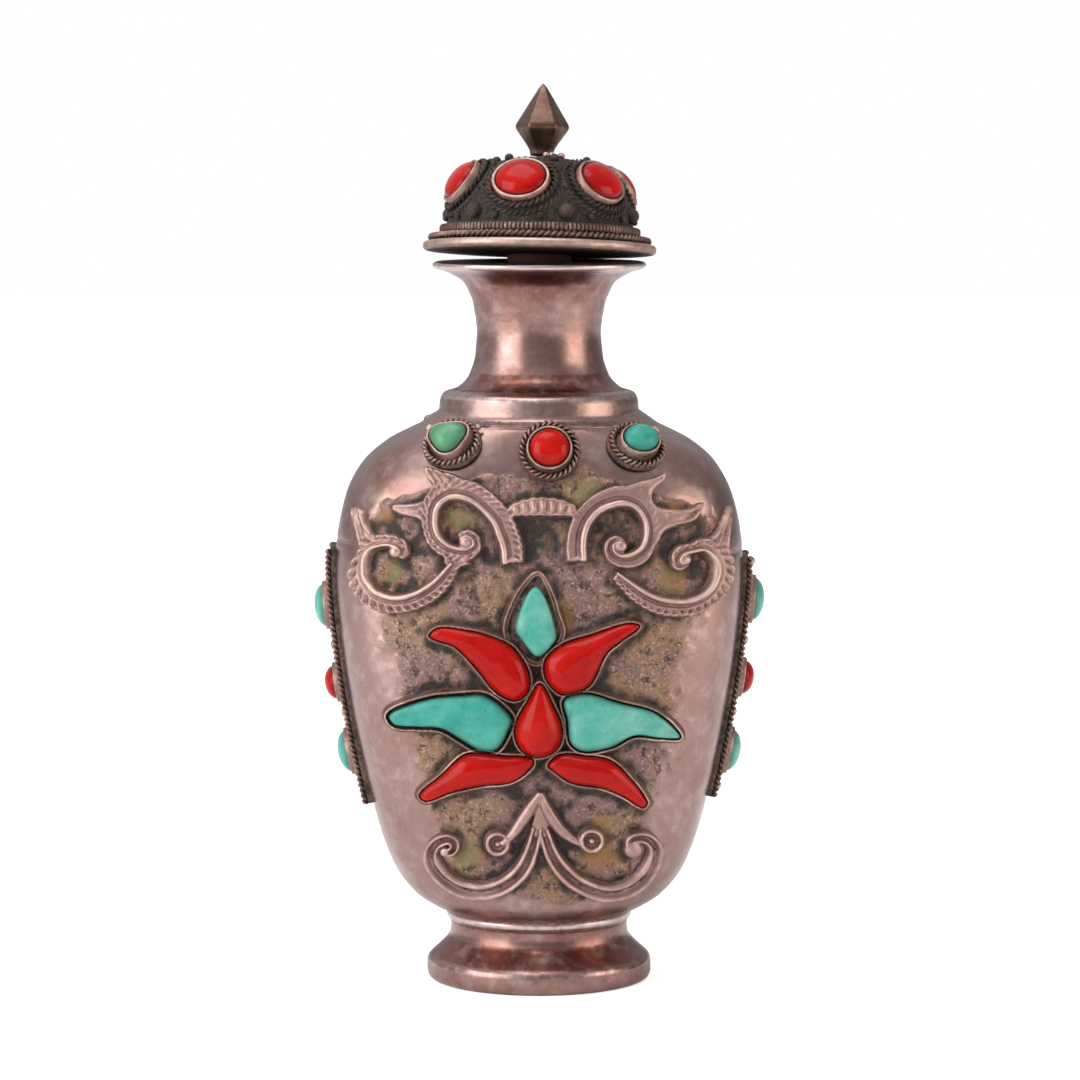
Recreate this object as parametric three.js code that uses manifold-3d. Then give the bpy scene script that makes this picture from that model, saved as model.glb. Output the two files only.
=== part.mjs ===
import * as THREE from 'three';
import { mergeVertices } from 'three/addons/utils/BufferGeometryUtils.js';
import Module from 'manifold-3d';

// A metal snuff bottle set with coral and turquoise, millimetres, +Z up, front towards -Y.
// The origin is the middle of the foot, on the surface that the bottle stands on.

const wasm = await Module();
wasm.setup();

// Driving sizes of the vessel
const wall = 0.9;
const sidesRound = 24;
const footRadius = 11.25;
const footRingRadius = 9.8;
const waistRadius = 8.87;
const beadRadius = 9.35;
const collarRadius = 9.95;
const neckRadius = 6.12;
const lipRadius = 10.7;
const lipTop = 71.95;
const mouthRadius = 3.5;
const squarest = 1.35;
const bandStep = 50;

// Height, half width and half depth of the flattened body
const bodyStations = [
  [7.0, 9.3, 9.3],
  [7.7, 10.7, 9.95],
  [9.0, 12.55, 10.8],
  [11.5, 14.4, 11.6],
  [16.0, 16.1, 12.35],
  [26.0, 18.35, 13.1],
  [36.0, 19.85, 13.45],
  [43.0, 20.25, 13.45],
  [48.5, 19.35, 13.1],
  [52.0, 17.6, 12.45],
  [54.2, 15.1, 11.75],
  [55.4, 12.8, 11.3],
  [56.1, 11.3, 11.0],
];

// Heights above the vessel wall
const solderGap = 0.12;
const innerScroll = { base: solderGap, groove: 0.66, top: 0.9 };
const outerScroll = { base: 0.2, groove: 0.6, top: 0.8 };
const leafBase = 0.3;
const leafHeight = 0.56;
const eyeHeight = 1.15;
const cellWall = 0.3;
const cellBase = 0.3;
const cellFloor = 0.5;
const cellSeat = 0.7;
const cellHeight = 1.0;
const stoneGap = 0.12;

const metal = { color: 0x9c7f7a, roughness: 0.38, metalness: 1.0 };
const coral = { color: 0xc8180f, roughness: 0.18, metalness: 0.0 };
const turquoise = { color: 0x58c4b2, roughness: 0.42, metalness: 0.0 };
const greenTurquoise = { color: 0x5fb583, roughness: 0.42, metalness: 0.0 };
const corkBrown = { color: 0x4a3424, roughness: 0.85, metalness: 0.0 };

const group = new THREE.Group();
const degrees = THREE.MathUtils.degToRad;

function addPiece(name, geometry, finish) {
  const mesh = new THREE.Mesh(geometry, new THREE.MeshStandardMaterial(finish));
  mesh.name = name;
  group.add(mesh);
}

// Smooth curve through a table of rows, read at one value of the first column
function tableValue(rows, at, column) {
  const last = rows.length - 1;
  const x = Math.min(Math.max(at, rows[0][0]), rows[last][0]);
  let i = 0;
  while (i < last - 1 && x > rows[i + 1][0]) i += 1;
  const slope = (k) => {
    const from = rows[Math.max(k - 1, 0)];
    const to = rows[Math.min(k + 1, last)];
    return (to[column] - from[column]) / (to[0] - from[0]);
  };
  const span = rows[i + 1][0] - rows[i][0];
  const t = (x - rows[i][0]) / span;
  return (2 * t ** 3 - 3 * t ** 2 + 1) * rows[i][column]
    + (t ** 3 - 2 * t ** 2 + t) * span * slope(i)
    + (3 * t ** 2 - 2 * t ** 3) * rows[i + 1][column]
    + (t ** 3 - t ** 2) * span * slope(i + 1);
}

const bodyBottom = bodyStations[0][0];
const bodyTop = bodyStations[bodyStations.length - 1][0];
const halfWidth = (z) => tableValue(bodyStations, z, 1);
const halfDepth = (z) => tableValue(bodyStations, z, 2);

function squareness(z) {
  const t = Math.min(Math.max((z - bodyBottom) / (bodyTop - bodyBottom), 0), 1);
  return 2 + squarest * Math.sqrt(Math.max(Math.sin(Math.PI * t), 0));
}

function frontDepth(x, z) {
  const n = squareness(z);
  const across = Math.min(Math.abs(x) / halfWidth(z), 0.998);
  return halfDepth(z) * (1 - across ** n) ** (1 / n);
}

function frontNormal(x, z) {
  const d = 0.02;
  const slopeX = (frontDepth(x + d, z) - frontDepth(x - d, z)) / (2 * d);
  const slopeZ = (frontDepth(x, z + d) - frontDepth(x, z - d)) / (2 * d);
  return new THREE.Vector3(-slopeX, -1, -slopeZ).normalize();
}

// A point over the front of the body, a given height off the wall
function overFront(x, z, height) {
  const point = new THREE.Vector3(x, -frontDepth(x, z), z);
  return point.addScaledVector(frontNormal(x, z), height);
}

// The same height off the wall, reached straight along Y
function straightOut(x, z, height) {
  return new THREE.Vector3(x, height / frontNormal(x, z).y - frontDepth(x, z), z);
}

function closedGeometry(geometry) {
  geometry.deleteAttribute('normal');
  geometry.deleteAttribute('uv');
  return mergeVertices(geometry, 1e-4);
}

// Moves every vertex of a geometry by a function of its place
function reshape(geometry, place) {
  const position = geometry.attributes.position;
  for (let i = 0; i < position.count; i += 1) {
    const at = place(position.getX(i), position.getY(i), position.getZ(i));
    position.setXYZ(i, at.x, at.y, at.z);
  }
  return closedGeometry(geometry);
}

function toSolid(geometry) {
  const closed = closedGeometry(geometry.clone());
  return new wasm.Manifold(new wasm.Mesh({
    numProp: 3,
    vertProperties: new Float32Array(closed.attributes.position.array),
    triVerts: new Uint32Array(closed.index.array),
  }));
}

function toGeometry(solid) {
  const mesh = solid.getMesh();
  const geometry = new THREE.BufferGeometry();
  geometry.setAttribute('position', new THREE.BufferAttribute(mesh.vertProperties, 3));
  geometry.setIndex(new THREE.BufferAttribute(mesh.triVerts, 1));
  return geometry;
}

function joined(geometries) {
  return toGeometry(geometries.map(toSolid).reduce((sum, solid) => sum.add(solid)));
}

// A turned body: radius and height pairs, drawn from the bottom of the axis to its top
function turned(profile, sides) {
  const lathe = new THREE.LatheGeometry(profile.map(([r, z]) => new THREE.Vector2(r, z)), sides);
  return closedGeometry(lathe.rotateX(Math.PI / 2));
}

// The route of a band: arcs of [length, turn in degrees] from a start and a heading
function routePoint(route, share) {
  const total = route.arcs.reduce((sum, arc) => sum + arc[0], 0);
  let [x, z] = route.start;
  let heading = degrees(route.heading);
  let left = share * total;
  for (const [length, turn] of route.arcs) {
    const part = Math.min(left / length, 1);
    const swing = degrees(turn) * part;
    const chord = length * part * (Math.abs(swing) < 1e-6 ? 1 : Math.sin(swing / 2) / (swing / 2));
    x += chord * Math.cos(heading + swing / 2);
    z += chord * Math.sin(heading + swing / 2);
    heading += swing;
    left -= length * part;
    if (part < 1) break;
  }
  return { x, z, heading };
}

// Stations along a route, closer together where it turns more
function routeShares(route, from, to, degreesPerStep) {
  const total = route.arcs.reduce((sum, arc) => sum + arc[0], 0);
  const shares = [from];
  let run = 0;
  for (const [length, turn] of route.arcs) {
    const steps = Math.max(1, Math.ceil(Math.abs(turn) / degreesPerStep));
    for (let i = 1; i <= steps; i += 1) {
      const share = (run + length * i / steps) / total;
      if (share > from + 0.01 && share < to - 0.01) shares.push(share);
    }
    run += length;
  }
  shares.push(to);
  return shares;
}

// Width of a band at a share of its length, from widths spread evenly or at given stations
function widthAt(widths, share, stations) {
  const rows = widths.map((w, i) => [stations ? stations[i] : i / (widths.length - 1), w]);
  return tableValue(rows, share, 1);
}

// A band laid along a route on the front of the body, flat or with a groove along its middle
function band(route, shares, strips, size) {
  const bar = new THREE.BoxGeometry(1, 1, 1, shares.length - 1, strips, 1);
  return reshape(bar, (along, across, up) => {
    const share = shares[Math.round((along + 0.5) * (shares.length - 1))];
    const at = routePoint(route, share);
    const side = across * size.width(share);
    const height = up < 0 ? size.base : size.top(share, across * 2);
    const place = size.place ?? overFront;
    return place(at.x - Math.sin(at.heading) * side, at.z + Math.cos(at.heading) * side, height);
  });
}

// A round boss, the eye of a scroll
function eye(x, z, radius) {
  const rim = eyeHeight - 0.15;
  const dome = turned([[0, leafBase], [radius, leafBase], [radius * 0.75, rim], [0, eyeHeight]], 8);
  return reshape(dome, (u, v, up) => overFront(x + u, z + v, up));
}

// A scroll band, with its last arc, the tight curl, closed to a boss
function scrollBand(route, widths, strips, level) {
  const total = route.arcs.reduce((sum, arc) => sum + arc[0], 0);
  const [curlLength, curlTurn] = route.arcs[route.arcs.length - 1];
  const curl = 1 - curlLength / total;
  const width = (share) => widthAt(widths, share);
  const size = {
    base: level.base,
    width,
    top: (share, across) => (strips > 1 && Math.abs(across) < 0.5 ? level.groove : level.top),
  };
  const at = routePoint(route, curl);
  const bend = curlLength / degrees(curlTurn);
  const centre = [at.x - Math.sin(at.heading) * bend, at.z + Math.cos(at.heading) * bend];
  return [
    band(route, routeShares(route, 0, curl, bandStep), strips, size),
    eye(...centre, Math.abs(bend) + width(curl) / 2),
  ];
}

function leaf(route, widths) {
  return band(route, [0, 0.4, 0.75, 1], 1, {
    base: leafBase,
    width: (share) => widthAt(widths, share),
    top: () => leafHeight,
  });
}

function turnedToBack(geometry) {
  return geometry.clone().rotateZ(Math.PI);
}

// The vessel, one hollow body from the foot ring to the mouth
const footProfile = [
  [0, 5.9],
  [7.7, 5.9],
  [footRingRadius, 2.0],
  [footRingRadius, 0],
  [footRadius - 0.3, 0],
  [footRadius, 0.5],
  [footRadius, 2.1],
  [10.0, 3.35],
  [waistRadius + 0.1, 4.3],
  [waistRadius, 6.1],
  [beadRadius, 6.5],
];
const bodyProfile = bodyStations.map(([z, width]) => [width, z]);
const neckProfile = [
  [10.15, 56.5],
  [collarRadius, 57.2],
  [collarRadius, 58.4],
  [9.6, 59.1],
  [8.3, 59.3],
  [7.1, 60.3],
  [6.42, 62.1],
  [neckRadius, 65.0],
  [6.6, 68.1],
  [7.5, 70.0],
  [9.3, 71.1],
  [lipRadius, 71.4],
  [lipRadius - 0.1, lipTop],
  [mouthRadius, lipTop],
  [mouthRadius, 71.0],
  [6.2, 70.3],
  [neckRadius - wall, 66.0],
  [neckRadius - wall, 63.0],
  [6.6, 59.6],
];
const insideHeights = [54.0, 48.0, 32.0, 11.0];
const insideProfile = insideHeights.map((z) => [halfWidth(z) - wall, z]);
const floorHeight = 7.3;

const vesselProfile = [...footProfile, ...bodyProfile, ...neckProfile, ...insideProfile];
vesselProfile.push([beadRadius - 1.5, floorHeight], [0, floorHeight]);

function vesselPoint(u, v, z) {
  const radius = Math.hypot(u, v);
  const outside = radius > halfWidth(z) - 0.01;
  const inBody = z >= bodyBottom && z <= bodyTop && radius > beadRadius - 1.4;
  if (!inBody) return new THREE.Vector3(u, v, z);
  const angle = Math.atan2(v, u);
  const n = squareness(z);
  const shrink = outside ? 0 : wall;
  const power = (value) => Math.sign(value) * Math.abs(value) ** (2 / n);
  return new THREE.Vector3(
    (halfWidth(z) - shrink) * power(Math.cos(angle)),
    (halfDepth(z) - shrink) * power(Math.sin(angle)),
    z,
  );
}
addPiece('bottle', reshape(turned(vesselProfile, sidesRound), vesselPoint), metal);

// Applied scrolls of the front, right and left halves traced apart because they are hand made
const innerWidths = [1.6, 1.9, 1.9, 1.6, 1.5, 1.3, 0.8];
const outerWidths = [0.8, 1.6, 1.5, 1.5, 1.6, 1.3, 0.8];
const leafWidths = [2.0, 1.6, 1.0, 0.2];
const lowerWidths = [1.3, 1.25, 1.2, 1.2, 0.9];
const armWidths = [0.7, 0.75, 0.7];

const innerRight = {
  start: [3.5, 43.3],
  heading: 91,
  arcs: [[5.5, -40], [2.9, -41], [2.9, -72], [3.7, -45], [4.1, -105], [3.4, -280]],
};
const innerLeft = {
  start: [-2.4, 43.2],
  heading: 95,
  arcs: [[1.8, 6], [6.0, 55], [2.4, 48], [6.4, 117], [3.5, 99], [3.2, 254]],
};
const outerRight = {
  start: [7.2, 42.9],
  heading: -60,
  arcs: [[3.7, 26], [1.8, 8], [8.3, 86], [2.5, 76], [4.4, 59], [2.8, 139], [2.1, 198]],
};
const outerLeft = {
  start: [-7.5, 43.3],
  heading: -119,
  arcs: [[4.5, -27], [8.0, -92], [4.0, -85], [3.6, -68], [3.1, -214]],
};
const upperLeaves = [
  { start: [7.8, 49.7], heading: 18, arcs: [[5.0, 10]] },
  { start: [10.2, 46.7], heading: 5, arcs: [[3.2, 5], [3.1, 35]] },
  { start: [17.3, 42.8], heading: 62, arcs: [[5.3, 12]] },
  { start: [-7.2, 49.5], heading: 148, arcs: [[4.7, -12]] },
  { start: [-9.6, 47.4], heading: 168, arcs: [[4.6, 4]] },
  { start: [-16.3, 44.0], heading: 112, arcs: [[4.7, 8]] },
];
const arch = { start: [-2.9, 47.8], heading: 20, arcs: [[7.7, -42]] };

const upperScroll = joined([
  ...scrollBand(innerRight, innerWidths, 2, innerScroll),
  ...scrollBand(innerLeft, innerWidths, 2, innerScroll),
  ...scrollBand(outerRight, outerWidths, 2, outerScroll),
  ...scrollBand(outerLeft, outerWidths, 2, outerScroll),
  ...upperLeaves.map((route) => leaf(route, leafWidths)),
  leaf(arch, [1.0, 1.7, 1.7, 1.0]),
]);
addPiece('front_upper_scroll', upperScroll, metal);

const lowerRight = {
  start: [0.44, 16.9],
  heading: -72,
  arcs: [[1.5, -1], [6.7, 53], [7.9, 104], [3.1, 116], [1.4, 133]],
};
const lowerLeft = {
  start: [-0.2, 17.1],
  heading: -100,
  arcs: [[3.1, -11], [4.7, -50], [6.9, -82], [3.4, -106], [2.5, -217]],
};
const armRight = { start: [0.1, 20.4], heading: -72, arcs: [[2.0, 9], [1.7, 11], [3.0, 35]] };
const armLeft = { start: [0.1, 20.4], heading: -121, arcs: [[4.2, -3], [2.0, -20]] };
const web = { start: [0.1, 20.0], heading: -90, arcs: [[3.6, 0]] };

function arm(route) {
  return band(route, [0, 0.3, 0.65, 1], 1, {
    base: 0.25,
    width: (share) => widthAt(armWidths, share),
    top: () => 0.72,
  });
}

const lowerScroll = joined([
  ...scrollBand(lowerRight, lowerWidths, 1, innerScroll),
  ...scrollBand(lowerLeft, lowerWidths, 1, outerScroll),
  arm(armRight),
  arm(armLeft),
  leaf(web, [0.5, 1.2, 1.8, 2.2]),
  eye(5.1, 15.9, 1.05),
  eye(-4.0, 15.6, 1.05),
]);
addPiece('front_lower_scroll', lowerScroll, metal);

// The back carries the same kind of castings, plainer
const backUpper = joined([
  ...scrollBand(innerRight, innerWidths, 1, innerScroll),
  ...scrollBand(innerLeft, innerWidths, 1, innerScroll),
  leaf(arch, [1.0, 1.7, 1.7, 1.0]),
]);
addPiece('back_upper_scroll', turnedToBack(backUpper), metal);

const backLower = joined([
  ...scrollBand(lowerRight, lowerWidths, 1, innerScroll),
  ...scrollBand(lowerLeft, lowerWidths, 1, outerScroll),
  leaf(web, [0.5, 1.2, 1.8, 2.2]),
]);
addPiece('back_lower_scroll', turnedToBack(backLower), metal);

// The flower: cut stones, each in a soldered cell that follows its outline
const stoneStations = [0, 0.1, 0.3, 0.55, 0.8, 1];
const flowerStones = [
  {
    name: 'top', finish: turquoise, rise: 1.7,
    start: [0, 34.1], heading: 92, arcs: [[1.6, 8], [5.5, -20]],
    widths: [0.5, 1.9, 3.6, 3.4, 1.9, 0.3],
  },
  {
    name: 'upper_left', finish: coral, rise: 2.1,
    start: [-1.5, 29.8], heading: 117, arcs: [[6.5, 30], [5.2, 28]],
    widths: [0.8, 3.0, 4.5, 3.5, 2.1, 0.3],
  },
  {
    name: 'upper_right', finish: coral, rise: 2.1,
    start: [0.9, 31.0], heading: 49, arcs: [[4.1, -9], [6.5, -26]],
    widths: [0.6, 3.0, 4.3, 3.5, 1.7, 0.3],
  },
  {
    name: 'centre', finish: coral, rise: 2.5,
    start: [-0.3, 24.3], heading: 74, arcs: [[2.0, 14], [5.1, 1]],
    widths: [1.0, 3.0, 4.5, 4.3, 2.6, 0.3],
  },
  {
    name: 'left', finish: turquoise, rise: 1.8,
    start: [-3.4, 26.5], heading: 151, arcs: [[1.8, 2], [9.8, 53]],
    widths: [2.7, 4.8, 4.3, 2.5, 1.8, 0.6],
  },
  {
    name: 'right', finish: turquoise, rise: 1.8,
    start: [2.7, 27.6], heading: 3, arcs: [[7.5, -11], [3.8, -33]],
    widths: [3.6, 5.2, 4.7, 2.2, 1.3, 0.3],
  },
  {
    name: 'lower_left', finish: coral, rise: 1.9,
    start: [-0.8, 23.6], heading: -168, arcs: [[3.0, -12], [8.6, 49]],
    widths: [1.0, 1.8, 2.4, 2.8, 1.4, 0.3],
  },
  {
    name: 'lower_right', finish: coral, rise: 1.9,
    start: [1.1, 23.7], heading: -32, arcs: [[3.5, 33], [7.2, -66]],
    widths: [1.1, 2.2, 2.8, 3.0, 1.7, 0.3],
  },
];

// A route made longer at both ends
function lengthened(route, extra) {
  const at = routePoint(route, 0);
  const arcs = route.arcs.map((arc) => [...arc]);
  arcs[0][0] += extra;
  arcs[arcs.length - 1][0] += extra;
  const start = [at.x - Math.cos(at.heading) * extra, at.z - Math.sin(at.heading) * extra];
  return { start, heading: route.heading, arcs };
}

const cellShares = [0, 0.15, 0.38, 0.7, 1];

// A straight-sided block through the front of the body, with a stone's outline
function outlineBlock(stone, margin) {
  const route = lengthened(stone, margin);
  const bar = new THREE.BoxGeometry(1, 1, 1, cellShares.length - 1, 1, 1);
  return reshape(bar, (along, across, up) => {
    const share = cellShares[Math.round((along + 0.5) * (cellShares.length - 1))];
    const at = routePoint(route, share);
    const side = across * (widthAt(stone.widths, share, stoneStations) + margin * 2);
    const x = at.x - Math.sin(at.heading) * side;
    return new THREE.Vector3(x, up < 0 ? -8 : -20, at.z + Math.cos(at.heading) * side);
  });
}

// A curved sheet over the front of the body, between two heights
const flowerColumns = [-15.6, -13.0, -8.5, 0, 8.5, 12.8, 15.0];
const flowerRows = [18, 24, 32, 42.5];

function frontSheet(base, top) {
  const columns = flowerColumns.length - 1;
  const rows = flowerRows.length - 1;
  const sheet = new THREE.BoxGeometry(1, 1, 1, columns, rows, 1);
  return reshape(sheet, (u, v, up) => {
    const x = flowerColumns[Math.round((u + 0.5) * columns)];
    const z = flowerRows[Math.round((v + 0.5) * rows)];
    return overFront(x, z, up < 0 ? base : top);
  });
}

const cellBlocks = joined(flowerStones.map((stone) => outlineBlock(stone, cellWall + stoneGap)));
const pocketBlocks = joined(flowerStones.map((stone) => outlineBlock(stone, stoneGap)));
const cellSheet = toSolid(frontSheet(cellBase, cellHeight));
const pocketSheet = toSolid(frontSheet(cellFloor, cellHeight + 1));
const pockets = toSolid(pocketBlocks).intersect(pocketSheet);
const flowerSetting = toSolid(cellBlocks).intersect(cellSheet).subtract(pockets);
addPiece('front_flower_setting', toGeometry(flowerSetting), metal);

for (const stone of flowerStones) {
  const edge = cellHeight + 0.1;
  const crown = (share, across) => {
    const nearEnd = Math.sqrt(Math.max(0, 1 - Math.abs(2 * share - 1) ** 3));
    return edge + (stone.rise - edge) * nearEnd * (1 - across ** 2);
  };
  const shape = band(stone, cellShares, 2, {
    base: cellSeat,
    width: (share) => widthAt(stone.widths, share, stoneStations),
    top: crown,
    place: straightOut,
  });
  addPiece(`front_flower_stone_${stone.name}`, shape, stone.finish);
}

// A frame standing square to a surface, its first axis level
function frameAt(origin, normal) {
  const up = normal.clone().normalize();
  const side = new THREE.Vector3(0, 0, 1).cross(up).normalize();
  return new THREE.Matrix4().makeBasis(side, up.clone().cross(side), up).setPosition(origin);
}

// A cup for one stone: a wire ring at its foot, a bezel round the stone and a floor under it
function cup(size, sides) {
  const pocket = size.stone + stoneGap;
  return turned([
    [0, size.base],
    [size.ring, size.base],
    [size.ring, size.ringTop],
    [pocket + 0.35, size.rim],
    [pocket, size.rim],
    [pocket, size.floor],
    [0, size.floor],
  ], sides).scale(1, size.oval, 1);
}

function cabochon(size, sides) {
  return turned([
    [0, size.floor + stoneGap],
    [size.stone, size.floor + stoneGap],
    [size.stone, size.rim],
    [size.stone * 0.72, size.rim + (size.crown - size.rim) * 0.62],
    [0, size.crown],
  ], sides).scale(1, size.oval, 1);
}

// Three stones on the shoulder of each face
const shoulderCup = { base: 0, ring: 3.0, ringTop: 0.75, rim: 1.55, floor: 0.75, crown: 2.5 };
const shoulderStones = [
  { name: 'left', x: -8.4, z: 54.3, finish: greenTurquoise, stone: 1.85, oval: 0.9 },
  { name: 'centre', x: 1.0, z: 53.5, finish: coral, stone: 1.95, oval: 0.98 },
  { name: 'right', x: 9.8, z: 54.0, finish: turquoise, stone: 1.8, oval: 0.9 },
];
for (const place of shoulderStones) {
  const size = { ...shoulderCup, ...place };
  const frame = frameAt(overFront(place.x, place.z, solderGap), frontNormal(place.x, place.z));
  const setting = cup(size, 8).applyMatrix4(frame);
  const gem = cabochon(size, 8).applyMatrix4(frame);
  addPiece(`front_shoulder_setting_${place.name}`, setting, metal);
  addPiece(`front_shoulder_stone_${place.name}`, gem, place.finish);
  addPiece(`back_shoulder_setting_${place.name}`, turnedToBack(setting), metal);
  addPiece(`back_shoulder_stone_${place.name}`, turnedToBack(gem), place.finish);
}

// One large oval coral in the middle of the back
const backHeight = 30;
const backCup = {
  base: 0, ring: 6.2, ringTop: 0.9, rim: 1.5, floor: 0.6, crown: 2.4, stone: 4.8, oval: 0.78,
};
const backFrame = frameAt(overFront(0, backHeight, solderGap), frontNormal(0, backHeight));
addPiece('back_setting', turnedToBack(cup(backCup, 12).applyMatrix4(backFrame)), metal);
addPiece('back_stone', turnedToBack(cabochon(backCup, 12).applyMatrix4(backFrame)), coral);

// The strips on the narrow sides, with three stones and granules between them
function overSide(y, z, height) {
  const n = squareness(z);
  const sideReach = (v, w) => halfWidth(w) * (1 - (Math.abs(v) / halfDepth(w)) ** n) ** (1 / n);
  const d = 0.02;
  const slopeY = (sideReach(y + d, z) - sideReach(y - d, z)) / (2 * d);
  const slopeZ = (sideReach(y, z + d) - sideReach(y, z - d)) / (2 * d);
  const normal = new THREE.Vector3(1, -slopeY, -slopeZ).normalize();
  const point = new THREE.Vector3(sideReach(y, z), y, z);
  return { normal, point: point.addScaledVector(normal, height) };
}

const stripThickness = 0.6;
const wireHeight = 1.05;
const stripSection = [
  [-4.0, wireHeight],
  [-3.3, wireHeight],
  [-3.2, stripThickness],
  [3.2, stripThickness],
  [3.3, wireHeight],
  [4.0, wireHeight],
];
const granuleRadius = 0.5;
const sideCup = { base: 0.25, rim: 1.45, floor: 0.75, crown: 2.45, oval: 0.95 };

// A strip over the side between two heights, with a raised wire along both edges
function sideStrip(ends, steps) {
  const columns = stripSection.length - 1;
  const bar = new THREE.BoxGeometry(1, 1, 1, columns, steps, 1);
  return reshape(bar, (u, v, up) => {
    const [y, top] = stripSection[Math.round((u + 0.5) * columns)];
    return overSide(y, ends[0] + (ends[1] - ends[0]) * (v + 0.5), up < 0 ? solderGap : top).point;
  });
}

function granule(radius) {
  return turned([[0, -radius], [radius, 0], [0, radius]], 5);
}

function sidePlaque(label, ends, gems, granules, turn) {
  const frames = gems.map((gem) => {
    const at = overSide(0, gem.z, 0);
    return frameAt(at.point, at.normal);
  });
  const body = joined([
    sideStrip(ends, 5),
    ...gems.map((gem, i) => (
      cup({ ...sideCup, stone: gem.stone, ring: gem.stone + 0.9, ringTop: 0.95 }, 8).applyMatrix4(frames[i])
    )),
    ...granules.map((z) => {
      const at = overSide(0, z, 0.85);
      return granule(granuleRadius).applyMatrix4(frameAt(at.point, at.normal));
    }),
  ]);
  addPiece(`side_plaque_${label}`, body.rotateZ(turn), metal);
  gems.forEach((gem, i) => {
    const shape = cabochon({ ...sideCup, stone: gem.stone }, 8).applyMatrix4(frames[i]);
    addPiece(`side_stone_${label}_${gem.name}`, shape.rotateZ(turn), gem.finish);
  });
}

sidePlaque('right', [18.9, 42.7], [
  { name: 'top', z: 38.3, stone: 2.25, finish: turquoise },
  { name: 'middle', z: 30.5, stone: 1.8, finish: coral },
  { name: 'bottom', z: 23.2, stone: 2.2, finish: turquoise },
], [42.0, 34.2, 27.0, 19.6], 0);
sidePlaque('left', [18.2, 43.5], [
  { name: 'top', z: 37.7, stone: 2.25, finish: turquoise },
  { name: 'middle', z: 30.0, stone: 1.8, finish: coral },
  { name: 'bottom', z: 23.1, stone: 2.2, finish: turquoise },
], [33.7, 26.9], Math.PI);

// The lid assembly, which leans back and a little to the right on its cork
const brimRadius = 11.6;
const brimThickness = 0.9;
const lid = new THREE.Group();
lid.position.set(0.05, 0, 72.75);
lid.rotation.set(degrees(-3.2), degrees(1.2), 0);
group.add(lid);

function addToLid(name, geometry, finish) {
  const mesh = new THREE.Mesh(geometry, new THREE.MeshStandardMaterial(finish));
  mesh.name = name;
  lid.add(mesh);
}

const domeRing = 8.15;
const domeRingHeight = 6.4;
const settingLean = degrees(35);
const lidStones = 6;
const firstStone = -14;
const lidCup = {
  base: -1.1, ring: 3.95, ringTop: 0.3, rim: 0.95, floor: 0.5, crown: 1.95, stone: 2.72, oval: 0.88,
};
const lidProfile = [
  [0, 0],
  [brimRadius - 0.3, 0],
  [brimRadius, 0.35],
  [brimRadius - 0.1, brimThickness],
  [11.0, 1.6],
  [10.05, 1.75],
  [9.95, 2.55],
  [9.3, 2.7],
  [9.1, 4.4],
  [8.5, 5.9],
  [7.5, 7.3],
  [5.6, 8.6],
  [3.0, 9.3],
  [0, 9.5],
];

// A frame on the dome at a bearing, which starts at the front and runs to the right
function domeFrame(bearing, radius, height, lean) {
  const angle = degrees(bearing);
  const out = new THREE.Vector3(Math.sin(angle), -Math.cos(angle), 0);
  const normal = out.clone().multiplyScalar(Math.cos(lean)).setZ(Math.sin(lean));
  return frameAt(out.multiplyScalar(radius).setZ(height), normal);
}

const bearings = Array.from({ length: lidStones }, (_, i) => firstStone + i * 360 / lidStones);
const lidBody = joined([
  turned(lidProfile, 20),
  ...bearings.map((bearing) => (
    cup(lidCup, 8).applyMatrix4(domeFrame(bearing, domeRing, domeRingHeight, settingLean))
  )),
  ...bearings.map((bearing) => (
    granule(0.85).applyMatrix4(domeFrame(bearing + 180 / lidStones, 9.35, 3.5, 0))
  )),
]);
addToLid('lid', lidBody, metal);
bearings.forEach((bearing, i) => {
  const gem = cabochon(lidCup, 8).applyMatrix4(domeFrame(bearing, domeRing, domeRingHeight, settingLean));
  addToLid(`lid_coral_${i + 1}`, gem, coral);
});

const finialProfile = [[0, 9.62], [1.3, 9.62], [1.15, 10.0], [2.85, 12.5], [0.3, 16.6], [0, 16.85]];
addToLid('finial', turned(finialProfile, 8), metal);

const corkProfile = [[0, -9], [2.9, -9], [3.25, -0.12], [0, -0.12]];
addToLid('cork', turned(corkProfile, 12), corkBrown);

export default group;
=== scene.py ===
import math

import bmesh
import bpy
import mathutils
import numpy as np
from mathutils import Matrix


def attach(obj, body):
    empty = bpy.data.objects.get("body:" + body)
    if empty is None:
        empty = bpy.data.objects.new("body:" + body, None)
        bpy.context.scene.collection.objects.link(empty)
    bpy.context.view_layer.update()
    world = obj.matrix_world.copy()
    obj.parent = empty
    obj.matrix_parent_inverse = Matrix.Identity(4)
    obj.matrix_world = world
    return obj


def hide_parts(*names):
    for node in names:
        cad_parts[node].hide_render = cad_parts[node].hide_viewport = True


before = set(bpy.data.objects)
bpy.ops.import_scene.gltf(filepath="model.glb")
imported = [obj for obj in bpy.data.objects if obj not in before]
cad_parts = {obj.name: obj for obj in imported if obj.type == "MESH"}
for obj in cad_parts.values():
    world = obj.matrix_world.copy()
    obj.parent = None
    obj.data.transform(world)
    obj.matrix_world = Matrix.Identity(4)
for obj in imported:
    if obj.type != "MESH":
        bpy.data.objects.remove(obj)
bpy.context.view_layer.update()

# A metal snuff bottle set with coral and turquoise, in metres, standing on a pale floor.
# Shapes are worked out in millimetres, and MM turns them to metres.
MM = 0.001

# Camera
# A long lens a little above the middle of the bottle, aimed down by a few degrees.
# The frame is 1080 by 1080 pixels, and the focal length is given in those pixels.
FRAME_PIXELS = 1080
FOCAL_PIXELS = 4168
CAMERA_PLACE = (0.1, -415.0, 82.6)
CAMERA_DOWN = 5.3

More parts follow.
